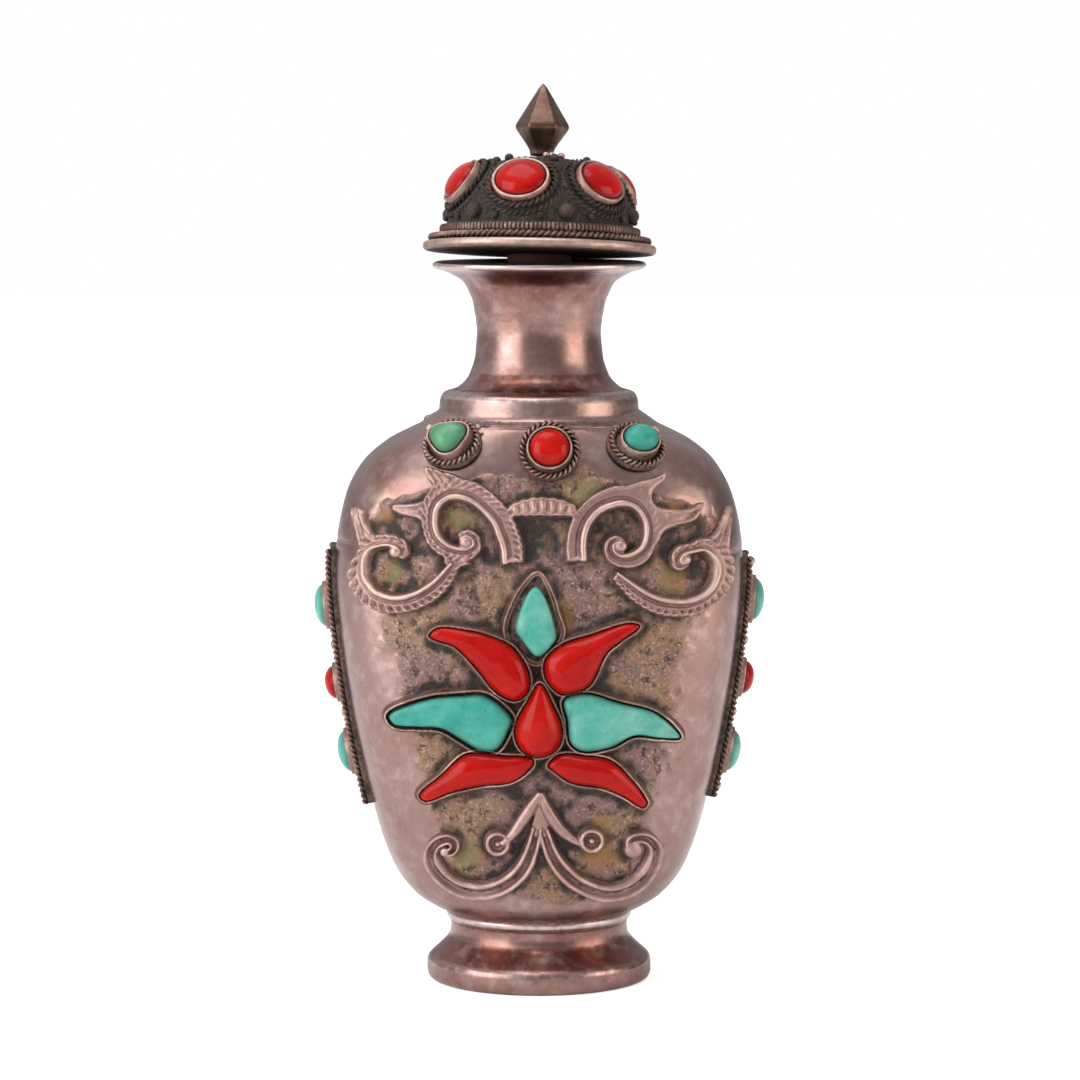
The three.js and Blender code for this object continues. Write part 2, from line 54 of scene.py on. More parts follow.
camera_data = bpy.data.cameras.new("camera")
camera_data.sensor_width = 36
camera_data.lens = FOCAL_PIXELS / FRAME_PIXELS * camera_data.sensor_width
camera = bpy.data.objects.new("camera", camera_data)
camera.location = [value * MM for value in CAMERA_PLACE]
camera.rotation_euler = (math.radians(90 - CAMERA_DOWN), 0, 0)
bpy.context.scene.collection.objects.link(camera)
bpy.context.scene.camera = camera

# Studio
# A white background behind a dimmer room, brighter overhead and on the left, with three soft boxes:
# a tall one on the left, a warmer one on the right and one overhead.


def linear(code):
    """An sRGB hex colour as linear RGBA."""
    channels = [int(code[i:i + 2], 16) / 255 for i in (1, 3, 5)]
    return [c / 12.92 if c <= 0.04045 else ((c + 0.055) / 1.055) ** 2.4 for c in channels] + [1.0]


def add_node(tree, kind, settings=None, **inputs):
    """Adds a shader node. Inputs are given by socket name or index, as a value or as a socket to link."""
    node = tree.nodes.new(kind)
    for name, value in (settings or {}).items():
        setattr(node, name, value)
    for name, value in inputs.items():
        key = int(name[1:]) if name[0] == "_" and name[1:].isdigit() else name.replace("_", " ")
        if isinstance(value, bpy.types.NodeSocket):
            tree.links.new(value, node.inputs[key])
        else:
            node.inputs[key].default_value = value
    return node


world = bpy.data.worlds.new("white_room")
world.use_nodes = True
room = world.node_tree
room.nodes.clear()
white = add_node(room, "ShaderNodeBackground", Color=linear("#ffffff"), Strength=1.0)
toward = add_node(room, "ShaderNodeTexCoord").outputs["Generated"]
way = add_node(room, "ShaderNodeSeparateXYZ", _0=toward)
overhead = add_node(room, "ShaderNodeMapRange", _0=way.outputs["Z"], _1=0.05, _2=0.8, _3=0.44, _4=1.0)
leftward = add_node(room, "ShaderNodeMapRange", _0=way.outputs["X"], _1=-1.0, _2=1.0, _3=1.2, _4=0.48)
room_light = add_node(room, "ShaderNodeMath", {"operation": "MULTIPLY"}, _0=overhead.outputs[0],
                      _1=leftward.outputs[0])
walls = add_node(room, "ShaderNodeBackground", Color=linear("#fbfbff"), Strength=room_light.outputs[0])
ray = add_node(room, "ShaderNodeLightPath")
room_seen = add_node(room, "ShaderNodeMixShader", _0=ray.outputs["Is Camera Ray"], _1=walls.outputs[0],
                     _2=white.outputs[0])
add_node(room, "ShaderNodeOutputWorld", Surface=room_seen.outputs[0])
bpy.context.scene.world = world
bpy.context.scene.view_settings.view_transform = "Standard"


def soft_box(name, place, target, size, watts, code):
    light = bpy.data.lights.new(name, "AREA")
    light.shape = "RECTANGLE"
    light.size = size[0] * MM
    light.size_y = size[1] * MM
    light.energy = watts
    light.color = linear(code)[:3]
    lamp = bpy.data.objects.new(name, light)
    lamp.location = [value * MM for value in place]
    aim = np.array(target, float) - np.array(place, float)
    lamp.rotation_euler = (
        math.atan2(math.hypot(aim[0], aim[1]), -aim[2]), 0, math.atan2(aim[1], aim[0]) - math.pi / 2)
    bpy.context.scene.collection.objects.link(lamp)


soft_box("left_soft_box", (-330, -210, 150), (0, 0, 45), (300, 320), 1.15, "#ffffff")
soft_box("right_soft_box", (330, -120, 110), (0, 0, 50), (230, 200), 0.47, "#fff0e4")
soft_box("top_soft_box", (-60, -60, 420), (0, 0, 40), (320, 260), 0.8, "#ffffff")

bpy.ops.mesh.primitive_plane_add(size=4.0, location=(0, 0, 0))
floor = bpy.context.active_object
floor.name = "floor"
# Matt white paper, which glows a little as well, so that it stays white where the bottle shades it
paper = bpy.data.materials.new("white_paper")
paper.use_nodes = True
paper.node_tree.nodes.clear()
matt = add_node(paper.node_tree, "ShaderNodeBsdfDiffuse", Color=linear("#f2f2f2"))
seen = add_node(paper.node_tree, "ShaderNodeLightPath").outputs["Is Camera Ray"]
strength = add_node(paper.node_tree, "ShaderNodeMapRange", _0=seen, _3=0.15, _4=0.62).outputs[0]
glow = add_node(paper.node_tree, "ShaderNodeEmission", Color=linear("#ffffff"), Strength=strength)
lit = add_node(paper.node_tree, "ShaderNodeAddShader", _0=matt.outputs[0], _1=glow.outputs[0])
add_node(paper.node_tree, "ShaderNodeOutputMaterial", Surface=lit.outputs[0])
floor.data.materials.append(paper)

# Vessel
# Foot, flattened body, collar, neck and lip raised from sheet of a silver and copper alloy and soldered
# to one hollow body. The ground behind the castings is rough and dark with old solder and dirt.
WALL = 0.9
BODY_STATIONS = [
    (7.0, 9.3, 9.3), (7.7, 10.7, 9.95), (9.0, 12.55, 10.8), (11.5, 14.4, 11.6), (16.0, 16.1, 12.35),
    (26.0, 18.35, 13.1), (36.0, 19.85, 13.45), (43.0, 20.25, 13.45), (48.5, 19.35, 13.1),
    (52.0, 17.6, 12.45), (54.2, 15.1, 11.75), (55.4, 12.8, 11.3), (56.1, 11.3, 11.0),
]
SQUAREST = 1.35
BODY_BOTTOM = BODY_STATIONS[0][0]
BODY_TOP = BODY_STATIONS[-1][0]


def table_curve(rows, at, column=1):
    """A smooth curve through a table of rows, read at an array of values of the first column."""
    table = np.array(rows, float)
    x = np.clip(np.asarray(at, float), table[0, 0], table[-1, 0])
    i = np.clip(np.searchsorted(table[:, 0], x, side="left") - 1, 0, len(table) - 2)
    before = np.maximum(np.arange(len(table)) - 1, 0)
    after = np.minimum(np.arange(len(table)) + 1, len(table) - 1)
    slope = (table[after, column] - table[before, column]) / (table[after, 0] - table[before, 0])
    span = table[i + 1, 0] - table[i, 0]
    t = (x - table[i, 0]) / span
    return ((2 * t ** 3 - 3 * t ** 2 + 1) * table[i, column] + (t ** 3 - 2 * t ** 2 + t) * span * slope[i]
            + (3 * t ** 2 - 2 * t ** 3) * table[i + 1, column] + (t ** 3 - t ** 2) * span * slope[i + 1])


def squareness(z):
    t = np.clip((np.asarray(z, float) - BODY_BOTTOM) / (BODY_TOP - BODY_BOTTOM), 0, 1)
    return 2 + SQUAREST * np.sqrt(np.maximum(np.sin(np.pi * t), 0))


def front_depth(x, z):
    n = squareness(z)
    across = np.minimum(np.abs(x) / table_curve(BODY_STATIONS, z), 0.998)
    return table_curve(BODY_STATIONS, z, 2) * (1 - across ** n) ** (1 / n)


def over_front(x, z, height):
    """Points over the front of the body at a height off the wall, and the wall's normals there."""
    x, z, height = np.broadcast_arrays(*[np.asarray(given, float) for given in (x, z, height)])
    step = 0.02
    slope_x = (front_depth(x + step, z) - front_depth(x - step, z)) / (2 * step)
    slope_z = (front_depth(x, z + step) - front_depth(x, z - step)) / (2 * step)
    normal = np.stack([-slope_x, -np.ones_like(x), -slope_z], -1)
    normal /= np.linalg.norm(normal, axis=-1, keepdims=True)
    return np.stack([x, -front_depth(x, z), z], -1) + normal * height[..., None], normal


def value_noise(points, size, seed):
    """Smooth noise from -1 to 1 over an array of points, with lumps of about the given size in mm."""
    at = points / size + seed * 17.31
    cell = np.floor(at)
    t = at - cell
    t = t * t * (3 - 2 * t)
    total = np.zeros(at.shape[:-1])
    for corner in np.ndindex(2, 2, 2):
        c = cell + corner
        hashed = np.sin(c[..., 0] * 127.1 + c[..., 1] * 311.7 + c[..., 2] * 74.7 + seed * 3.3) * 43758.5453
        weight = np.prod(np.where(np.array(corner) == 1, t, 1 - t), axis=-1)
        total += weight * (hashed - np.floor(hashed))
    return total * 2 - 1


def mesh_piece(name, grids, material, loose=()):
    """One mesh from grids of points. Each grid is (points, wrap_rows, wrap_columns, {attribute: values}).
    Loose parts are (points, faces, {attribute: values})."""
    points, faces, values, start = [], [], {}, 0
    parts = []
    for grid, wrap_rows, wrap_columns, attributes in grids:
        rows, columns = grid.shape[:2]
        r = np.arange(rows if wrap_rows else rows - 1)[:, None]
        c = np.arange(columns if wrap_columns else columns - 1)[None, :]
        r2, c2 = (r + 1) % rows, (c + 1) % columns
        quads = np.stack([r * columns + c, r * columns + c2, r2 * columns + c2, r2 * columns + c], -1)
        parts.append((grid.reshape(-1, 3), quads.reshape(-1, 4).tolist(), attributes))
    parts.extend(loose)
    names = sorted({key for part in parts for key in part[2]})
    for at, quads, attributes in parts:
        points.append(at)
        faces.extend([[i + start for i in quad] for quad in quads])
        for key in names:
            given = attributes.get(key, 0.0)
            values.setdefault(key, []).append(np.broadcast_to(given, at.shape[:1]) if np.ndim(given) == 0
                                              else np.asarray(given, float).reshape(-1))
        start += len(at)
    mesh = bpy.data.meshes.new(name)
    mesh.from_pydata((np.concatenate(points) * MM).tolist(), [], faces)
    for key in names:
        layer = mesh.attributes.new(key, "FLOAT", "POINT")
        layer.data.foreach_set("value", np.concatenate(values[key]).astype(np.float32))
    mesh.materials.append(material)
    welded = bmesh.new()
    welded.from_mesh(mesh)
    bmesh.ops.remove_doubles(welded, verts=welded.verts, dist=0.0001 * MM)
    bmesh.ops.recalc_face_normals(welded, faces=welded.faces)
    welded.to_mesh(mesh)
    welded.free()
    mesh.polygons.foreach_set("use_smooth", np.ones(len(mesh.polygons), bool))
    mesh.update()
    piece = bpy.data.objects.new(name, mesh)
    bpy.context.scene.collection.objects.link(piece)
    return piece


def finished(piece, node):
    """The piece rides on the bottle and stands for the CAD node, which it hides."""
    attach(piece, "root")
    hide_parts(node)
    return piece


def aged_metal(name, high, middle, brown, dirt_and_shade_colour, roughness):
    """Silver and copper alloy, rubbed bright where it stands high and gone dark where it doesn't, partly
    with dirt and partly with painted shade. The attribute rise marks rubbed high places, tarnish the
    red-brown ones, ground the rough cast ground and ochre the yellow stains. One more attribute darkens with
    the dirt in the corners and with painted shade beside the castings, in their hollows and under the lid's
    brim."""
    material = bpy.data.materials.new(name)
    material.use_nodes = True
    tree = material.node_tree
    tree.nodes.clear()
    place = add_node(tree, "ShaderNodeTexCoord").outputs["Object"]

    # Lumps by their size in mm: clouds of tarnish, patches and mottling as scale and handling leave them,
    # and grit, which is finer on the real metal and is drawn as coarse as it needs to show
    seen = {}
    for lumps, size, detail, rough, distortion in (
            ("clouds", 7.0, 4.0, 0.6, 0.6), ("patches", 2.6, 4.0, 0.6, 0.4),
            ("mottle", 1.0, 5.0, 0.65, 0.0), ("grit", 0.28, 3.0, 0.6, 0.0)):
        seen[lumps] = add_node(tree, "ShaderNodeTexNoise", Vector=place, Scale=1000 / size, Detail=detail,
                               Roughness=rough, Distortion=distortion).outputs["Fac"]
    for key in ("rise", "tarnish", "ground", "soil", "ochre"):
        seen[key] = add_node(tree, "ShaderNodeAttribute", {"attribute_name": key}).outputs["Fac"]

    # Each finish adds up its causes by weight. It starts at the first value and is whole at the second
    for finish, causes, starts, whole in (
            ("tarnished", {"tarnish": 1.0, "clouds": 1.0, "mottle": 1.3}, 1.1, 1.95),
            ("bloom", {"patches": 1.0, "mottle": 1.0}, 0.9, 1.35),
            ("rough", {"ground": 1.0, "patches": 0.9}, 0.7, 1.25),
            ("rubbed", {"rise": 1.0, "mottle": 1.0}, 0.95, 1.55),
            ("dirty", {"soil": 1.0, "mottle": 1.2, "grit": 0.8}, 1.3, 1.95),
            ("stained", {"ochre": 1.0, "mottle": 1.4}, 0.95, 1.65),
            ("brown", {"clouds": 1.0}, 0.4, 0.6),
            ("green", {"mottle": 1.0}, 0.56, 0.72),
            ("pitted", {"mottle": -1.0}, -0.5, -0.36),
            ("glinting", {"grit": 1.0}, 0.5, 0.72),
            ("dusty", {"grit": 1.0}, 0.42, 0.75),
            ("mossy", {"clouds": 1.0}, 0.45, 0.55)):
        total = 0.0
        for cause, weight in causes.items():
            total = add_node(tree, "ShaderNodeMath", {"operation": "MULTIPLY_ADD"}, _0=seen[cause],
                             _1=weight, _2=total).outputs[0]
        seen[finish] = add_node(tree, "ShaderNodeMapRange", {"interpolation_type": "SMOOTHSTEP"}, _0=total,
                                _1=starts, _2=whole).outputs[0]

    # Coats of colour from the bottom up: what each lies on, where it shows, how thick it is and its colour
    coats = {"metal": linear(middle), "ground": linear("#775a57"), "crust_and_shade": linear(dirt_and_shade_colour),
             "stain": linear("#95672e")}
    for under, finish, thickness, code in (
            ("ground", "brown", 1.0, "#87694f"), ("ground", "green", 1.0, "#5d5f4f"),
            ("ground", "pitted", 1.0, "#332721"), ("ground", "glinting", 1.0, "#ae9087"),
            ("crust_and_shade", "dusty", 1.0, "#40382d"), ("stain", "mossy", 1.0, "#776f45"),
            ("metal", "tarnished", 1.0, brown), ("metal", "bloom", 0.4, high),
            ("metal", "rough", 0.9, "ground"), ("metal", "rubbed", 1.0, high),
            ("metal", "dirty", 1.0, "crust_and_shade"), ("metal", "stained", 0.65, "stain")):
        share = add_node(tree, "ShaderNodeMath", {"operation": "MULTIPLY"}, _0=seen[finish], _1=thickness)
        coat = coats[code] if code in coats else linear(code)
        coats[under] = add_node(tree, "ShaderNodeMix", {"data_type": "RGBA"}, _0=share.outputs[0],
                                _6=coats[under], _7=coat).outputs[2]

    # Dirt with its painted shade, stains and the rough ground are matt, lumpy and less metallic
    for result, operation, *terms in (
            ("matt", "MAXIMUM", "dirty", "stained"),
            ("cast_matt", "MULTIPLY", "rough", 0.5),
            ("matt", "MAXIMUM", "matt", "cast_matt"),
            ("dull", "MULTIPLY_ADD", "mottle", 0.2, roughness),
            ("dull", "MULTIPLY_ADD", "matt", 0.3, "dull"),
            ("lump_height", "MULTIPLY_ADD", "rough", 3.6, 0.3),
            ("grit_height", "MULTIPLY_ADD", "matt", 2.0, 0.1),
            ("relief", "MULTIPLY", "grit", "grit_height"),
            ("relief", "MULTIPLY_ADD", "mottle", "lump_height", "relief")):
        inputs = {"_%d" % i: seen.get(term, term) for i, term in enumerate(terms)}
        seen[result] = add_node(tree, "ShaderNodeMath", {"operation": operation}, **inputs).outputs[0]
    metallic = add_node(tree, "ShaderNodeMapRange", {"interpolation_type": "SMOOTHSTEP"}, _0=seen["matt"],
                        _3=1.0, _4=0.25).outputs[0]
    bump = add_node(tree, "ShaderNodeBump", Height=seen["relief"], Distance=0.08 * MM, Strength=0.7)
    shader = add_node(tree, "ShaderNodeBsdfPrincipled", Base_Color=coats["metal"], Metallic=metallic,
                      Roughness=seen["dull"], Normal=bump.outputs[0])
    add_node(tree, "ShaderNodeOutputMaterial", Surface=shader.outputs[0])
    return material


# Raised from sheet and hammered smooth. It gives long soft reflections in a pinkish grey with brown clouds
body_metal = aged_metal("worn_silver_copper_alloy", "#c9b7b2", "#957972", "#794d44", "#211b15", 0.2)

# Columns of points stand evenly round an oval like the body's, and closer together over the front, where
# the ground shows its grain
COLUMNS = 306
OVAL_WIDTH = 19.0
OVAL_DEPTH = 13.3
OVAL_POWER = 3.3
FRONT_FROM = -6
FRONT_EXTRA = 1.3
even_turn = np.linspace(0, 2 * math.pi, 4001)[:-1] - math.pi / 2
oval = ((np.abs(np.cos(even_turn)) / OVAL_WIDTH) ** OVAL_POWER
        + (np.abs(np.sin(even_turn)) / OVAL_DEPTH) ** OVAL_POWER) ** (-1 / OVAL_POWER)
oval_x, oval_y = oval * np.cos(even_turn), oval * np.sin(even_turn)
oval_step = np.hypot(oval_x - np.roll(oval_x, 1), oval_y - np.roll(oval_y, 1))
oval_step *= 1 + FRONT_EXTRA * (oval_y < FRONT_FROM)
oval_run = np.concatenate([[0], np.cumsum(oval_step)[:-1]])
angles = np.interp(np.arange(COLUMNS) / COLUMNS * oval_step.sum(), oval_run, even_turn)


def round_line(corners, spacing):
    """Radius and height pairs along a line through corners, with points at the given spacing."""
    line = []
    for a, b in zip(corners, corners[1:]):
        steps = max(1, round(math.dist(a, b) / spacing))
        line.extend(np.array(a) + (np.array(b) - np.array(a)) * i / steps for i in range(steps))
    line.append(np.array(corners[-1]))
    line = np.array(line)
    for _ in range(2):
        line[1:-1] = (line[:-2] + 2 * line[1:-1] + line[2:]) / 4
    return line


foot_hollow = round_line([(0.2, 5.9), (7.7, 5.9), (9.8, 2.0), (9.8, 0.1)], 1.0)
foot_line = round_line([
    (9.9, 0.0), (10.9, 0.0), (11.25, 0.45), (11.25, 2.1), (10.9, 2.45), (10.0, 3.25), (9.1, 4.2),
    (8.87, 4.9), (8.87, 6.0), (9.3, 6.2), (9.4, 6.5), (9.25, 6.9),
], 0.28)
body_heights = np.concatenate([np.linspace(7.0, 10.0, 16)[:-1], np.linspace(10.0, 56.1, 156)])
neck_line = round_line([
    (11.2, 56.15), (10.25, 56.4), (9.95, 57.1), (9.95, 58.3), (9.75, 58.45), (9.75, 58.7), (9.6, 59.05),
    (8.3, 59.25), (7.1, 60.3), (6.42, 62.1), (6.12, 65.0), (6.6, 68.1), (7.5, 70.0), (9.3, 71.0),
    (10.5, 71.2), (10.72, 71.45), (10.7, 71.75), (10.5, 71.95), (9.6, 71.98),
], 0.42)
mouth_line = round_line([
    (9.2, 71.95), (3.6, 71.95), (3.5, 71.0), (6.2, 70.3), (5.22, 66.0), (5.22, 63.0), (6.6, 59.6)], 1.2)
inside_heights = np.array([54.0, 52.0, 48.0, 42.0, 32.0, 22.0, 14.0, 11.0])

rings = [(r, r, 2.0, z) for r, z in np.concatenate([foot_hollow, foot_line])]
body_from = len(rings)
rings += [(w, d, n, z) for w, d, n, z in zip(
    table_curve(BODY_STATIONS, body_heights), table_curve(BODY_STATIONS, body_heights, 2),
    squareness(body_heights), body_heights)]
neck_from = len(rings)
rings += [(r, r, 2.0, z) for r, z in np.concatenate([neck_line, mouth_line])]
rings += [(w - WALL, d - WALL, n, z) for w, d, n, z in zip(
    table_curve(BODY_STATIONS, inside_heights), table_curve(BODY_STATIONS, inside_heights, 2),
    squareness(inside_heights), inside_heights)]
rings += [(7.85, 7.85, 2.0, 7.3), (0.2, 0.2, 2.0, 7.3)]
rings = np.array(rings)
half_width, half_depth, power, ring_height = [rings[:, i][:, None] for i in range(4)]
reach = ((np.abs(np.cos(angles)) / half_width) ** power
         + (np.abs(np.sin(angles)) / half_depth) ** power) ** (-1 / power)
vessel_points = np.stack([reach * np.cos(angles), reach * np.sin(angles),
                          np.broadcast_to(ring_height, reach.shape)], -1)

# The rough ground behind the castings narrows towards the foot: height and half width
GROUND_ROWS = [
    (8.5, 6.0), (11.5, 10.5), (15.0, 11.6), (19.0, 12.2), (24.0, 13.2), (28.0, 14.6), (33.0, 15.2),
    (37.0, 16.2), (40.0, 17.8), (46.0, 18.4), (48.5, 16.5), (50.0, 12.0), (51.5, 7.5), (54.0, 5.0)]
GROUND_BOTTOM = 9.2
GROUND_TOP = 53.2
# The back is less crowded, so its rough ground is narrower
BACK_GROUND_SHARE = 0.62

# The marks of hammering, and the grain of the ground: size of the lumps, seed and height
DENTS = [(6.0, 1, 0.06), (2.2, 2, 0.025)]
GRAIN = [(2.4, 8, 0.16), (1.2, 4, 0.2), (0.65, 3, 0.13)]

# Heights of the soldered seams, and of the places on the profile that keep a finish of their own
LEFT_SEAM = 44.6
RIGHT_SEAM = 43.4
FOOT_EDGE = 2.1
FOOT_COVE = (2.6, 4.4)
FOOT_JOINT = 5.9
FOOT_BEAD = 6.4
BODY_JOINT = (6.8, 7.3)
CLOUDED_FROM = 38
COLLAR_JOINT = 56.5
COLLAR_EDGE = 58.6
COLLAR_TOP = 59.3
NECK_COVE = 60.0
NECK_SEAM = 66.3
WAIST = 66.5
UNDER_LIP = 70.9
LIP_EDGE = 71.1

across = np.abs(vessel_points[..., 0])
height = vessel_points[..., 2]
body_part = np.zeros(reach.shape, bool)
body_part[body_from:neck_from] = True
foot_part = np.zeros(reach.shape, bool)
foot_part[len(foot_hollow):body_from] = True
neck_part = np.zeros(reach.shape, bool)
neck_part[neck_from:neck_from + len(neck_line)] = True

wander = value_noise(vessel_points, 3.0, 5) * 1.3 + value_noise(vessel_points, 1.0, 6) * 1.0
facing = np.abs(vessel_points[..., 1]) > 0.28 * half_depth
ground_width = table_curve(GROUND_ROWS, height) * np.where(vessel_points[..., 1] > 0, BACK_GROUND_SHARE, 1.0)
ground = np.clip((ground_width + wander - across) / 3.0, 0, 1) * body_part * facing
ground *= (np.clip((height - GROUND_BOTTOM + wander * 0.4) / 1.6, 0, 1)
           * np.clip((GROUND_TOP + wander - height) / 3.6, 0, 1))
dents = sum(value_noise(vessel_points, size, seed) * high for size, seed, high in DENTS)
grain = sum(value_noise(vessel_points, size, seed) * high for size, seed, high in GRAIN)
seam_place = (np.where(vessel_points[..., 0] < 0, LEFT_SEAM, RIGHT_SEAM)
              + value_noise(vessel_points, 2.0, 7) * 0.12)
seam = -0.1 * np.exp(-((height - seam_place) / 0.16) ** 2) * body_part * (1 - ground)
neck_seam = -0.05 * np.exp(-((height - NECK_SEAM) / 0.14) ** 2) * neck_part
outward = vessel_points * (1, 1, 0)
outward /= np.linalg.norm(outward, axis=-1, keepdims=True)
moved = dents * (body_part | foot_part | neck_part) * 0.8 + grain * ground + seam + neck_seam

# The waist under the lip, the cove over the collar and the cove of the foot are the darkest
tarnish = 0.1 + 0.22 * neck_part + 0.3 * foot_part + 0.3 * np.clip((height - WAIST) / 3, 0, 1) * neck_part
clouded = np.clip(value_noise(vessel_points, 6.5, 14) + 0.15, 0, 1)
tarnish += 0.35 * clouded * body_part * (height > CLOUDED_FROM)
tarnish = np.where(neck_part & (height > UNDER_LIP), -0.3, tarnish)
tarnish = np.where(neck_part & (np.abs(height - NECK_COVE) < 0.9), 1.3, tarnish)
tarnish = np.where(neck_part & (height < COLLAR_TOP), -0.1, tarnish)
tarnish = np.where(foot_part & (height > FOOT_COVE[0]) & (height < FOOT_COVE[1]), 1.5, tarnish)
rise = (0.9 * neck_part * (height > LIP_EDGE) + 0.6 * foot_part * (np.abs(height - FOOT_EDGE) < 0.35)
        + 0.7 * neck_part * (np.abs(height - COLLAR_EDGE) < 0.25)
        + 0.9 * foot_part * (np.abs(height - FOOT_BEAD) < 0.35))
vessel_soil = (0.55 * (neck_part & (np.abs(height - COLLAR_TOP) < 0.2))
               + 0.6 * (foot_part & (np.abs(height - FOOT_JOINT) < 0.15))
               + 0.6 * ((height > BODY_JOINT[0]) & (height < BODY_JOINT[1]))
               + 0.55 * (neck_part & (height < COLLAR_JOINT))
               + np.clip(-grain * ground * 3.6 - 0.3, 0, 0.7)
               + 0.45 * (seam < -0.04) + 0.3 * (neck_seam < -0.02))
vessel_grid = (vessel_points + moved[..., None] * outward, False, True, {
    "ground": ground, "tarnish": tarnish, "rise": rise, "soil": vessel_soil, "ochre": 0.0 * ground})
vessel = finished(mesh_piece("vessel", [vessel_grid], body_metal), "bottle")

# Castings
# Scrolls cast in the same alloy and soldered on: two C scrolls and two outer scrolls with leaves under the
# shoulder, joined by a ribbed arch, and two small arms over two C scrolls above the foot.
# Each casting is one sheet of relief, worked out as a height off the wall over the front.
CAST_STEP = 0.08
WALL_SLOPE = 6.0
FLANGE_LEVEL = 0.72
LOOP_STEP = 0.12
# A form's height where it isn't, far below the wall
NOWHERE = -9.0


def evenly(line, spacing):
    """A closed line resampled to even steps."""
    closed = np.concatenate([line, line[:1]])
    run = np.concatenate([[0], np.cumsum(np.linalg.norm(np.diff(closed, axis=0), axis=1))])
    at = np.linspace(0, run[-1], int(run[-1] / spacing) + 1)[:-1]
    return np.stack([np.interp(at, run, closed[:, i]) for i in range(closed.shape[1])], -1)


def smooth_loop(corners, spacing=LOOP_STEP):
    """A smooth closed curve through corner points."""
    p = np.array(corners, float)
    ahead, behind = np.roll(p, -1, 0), np.roll(p, 1, 0)
    reach_on = np.linalg.norm(ahead - p, axis=1)[:, None]
    reach_back = np.linalg.norm(p - behind, axis=1)[:, None]
    slope = (ahead - behind) / (reach_on + reach_back)
    t = (np.arange(16) / 16)[None, :, None]
    a, b = p[:, None], ahead[:, None]
    leave, arrive = (slope * reach_on)[:, None], (np.roll(slope, -1, 0) * reach_on)[:, None]
    curve = ((2 * t ** 3 - 3 * t ** 2 + 1) * a + (t ** 3 - 2 * t ** 2 + t) * leave
             + (3 * t ** 2 - 2 * t ** 3) * b + (t ** 3 - t ** 2) * arrive)
    return evenly(curve.reshape(-1, 2), spacing)


def inside(points, loop):
    """Which points lie inside a closed line."""
    x, z = points[..., 0, None], points[..., 1, None]
    x1, z1 = loop.T
    x2, z2 = np.roll(loop, -1, 0).T
    crosses = (z1 > z) != (z2 > z)
    at = x1 + (z - z1) / np.where(z2 == z1, 1e-9, z2 - z1) * (x2 - x1)
    return np.sum(crosses & (x < at), -1) % 2 == 1


def through(rows, spacing=0.05):
    """A smooth open line through rows of numbers, x and z first, at even steps."""
    rows = np.array(rows, float)
    run = np.concatenate([[0], np.cumsum(np.hypot(*np.diff(rows[:, :2], axis=0).T))])
    at = np.linspace(0, run[-1], int(run[-1] / spacing) + 1)
    table = np.column_stack([run, rows])
    return at, np.stack([table_curve(table, at, column) for column in range(1, table.shape[1])], -1)


def nearest_on(x, z, line):
    return np.argmin((x[:, None] - line[:, 0]) ** 2 + (z[:, None] - line[:, 1]) ** 2, 1)


def round_about(x, z, line, margin):
    """Which places lie in the box round a line."""
    return ((x > line[:, 0].min() - margin) & (x < line[:, 0].max() + margin)
            & (z > line[:, 1].min() - margin) & (z < line[:, 1].max() + margin))


# Heights across a scroll's flange and across its inner rim, from the groove between them outwards
FLANGE = [(0.0, 0.5), (0.08, 0.54), (0.18, 0.7), (0.6, 0.75), (1.0, 0.7)]
INNER_RIM = [
    (0.0, 0.5), (0.06, 0.54), (0.2, 0.92), (0.4, 1.16), (0.6, 1.2), (0.78, 1.08), (0.92, 0.8), (1.0, 0.5)]


# Each of the functions below gives a form, which takes x and z and gives back two arrays: the height of
# its surface, and how deep its engraving cuts


def scroll(rows, pitch, slant, depth, from_share=0.0):
    """A scroll with a flange and a strong inner rim. Rows run along the groove between them: x, z, reach
    of the flange and reach of the rim. The flange lies outside the curl and carries engraved strokes."""
    distance, line = through(rows)
    heading = np.unwrap(np.arctan2(np.gradient(line[:, 1]), np.gradient(line[:, 0])))
    outside = -np.sign(heading[-1] - heading[0])

    def form(x, z):
        lift = np.full(x.shape, NOWHERE)
        engraved = np.zeros(x.shape)
        near = round_about(x, z, line, 2.2)
        px, pz = x[near], z[near]
        closest = nearest_on(px, pz, line)
        dx, dz, way = px - line[closest, 0], pz - line[closest, 1], heading[closest]
        out = (-np.sin(way) * dx + np.cos(way) * dz) * outside
        reach_out, reach_in = line[closest, 2], line[closest, 3]
        u = np.where(out > 0, out / reach_out, -out / reach_in)
        surface = np.where(out > 0, np.interp(u, *np.array(FLANGE).T), np.interp(u, *np.array(INNER_RIM).T))
        over = np.where(out > 0, out - reach_out, -out - reach_in)
        along = np.cos(way) * dx + np.sin(way) * dz
        past = np.where((closest == 0) | (closest == len(line) - 1), np.maximum(np.abs(along) - 0.1, 0), 0)
        lift[near] = surface - (np.maximum(over, 0) + past) * WALL_SLOPE
        wave = 0.5 + 0.5 * np.cos(2 * math.pi * (distance[closest] + slant * out) / pitch)
        within = np.clip((u - 0.3) / 0.15, 0, 1) * (out > 0) * (over < 0.1) * (u > from_share)
        engraved[near] = depth * wave ** 1.5 * within
        return lift, engraved
    return form


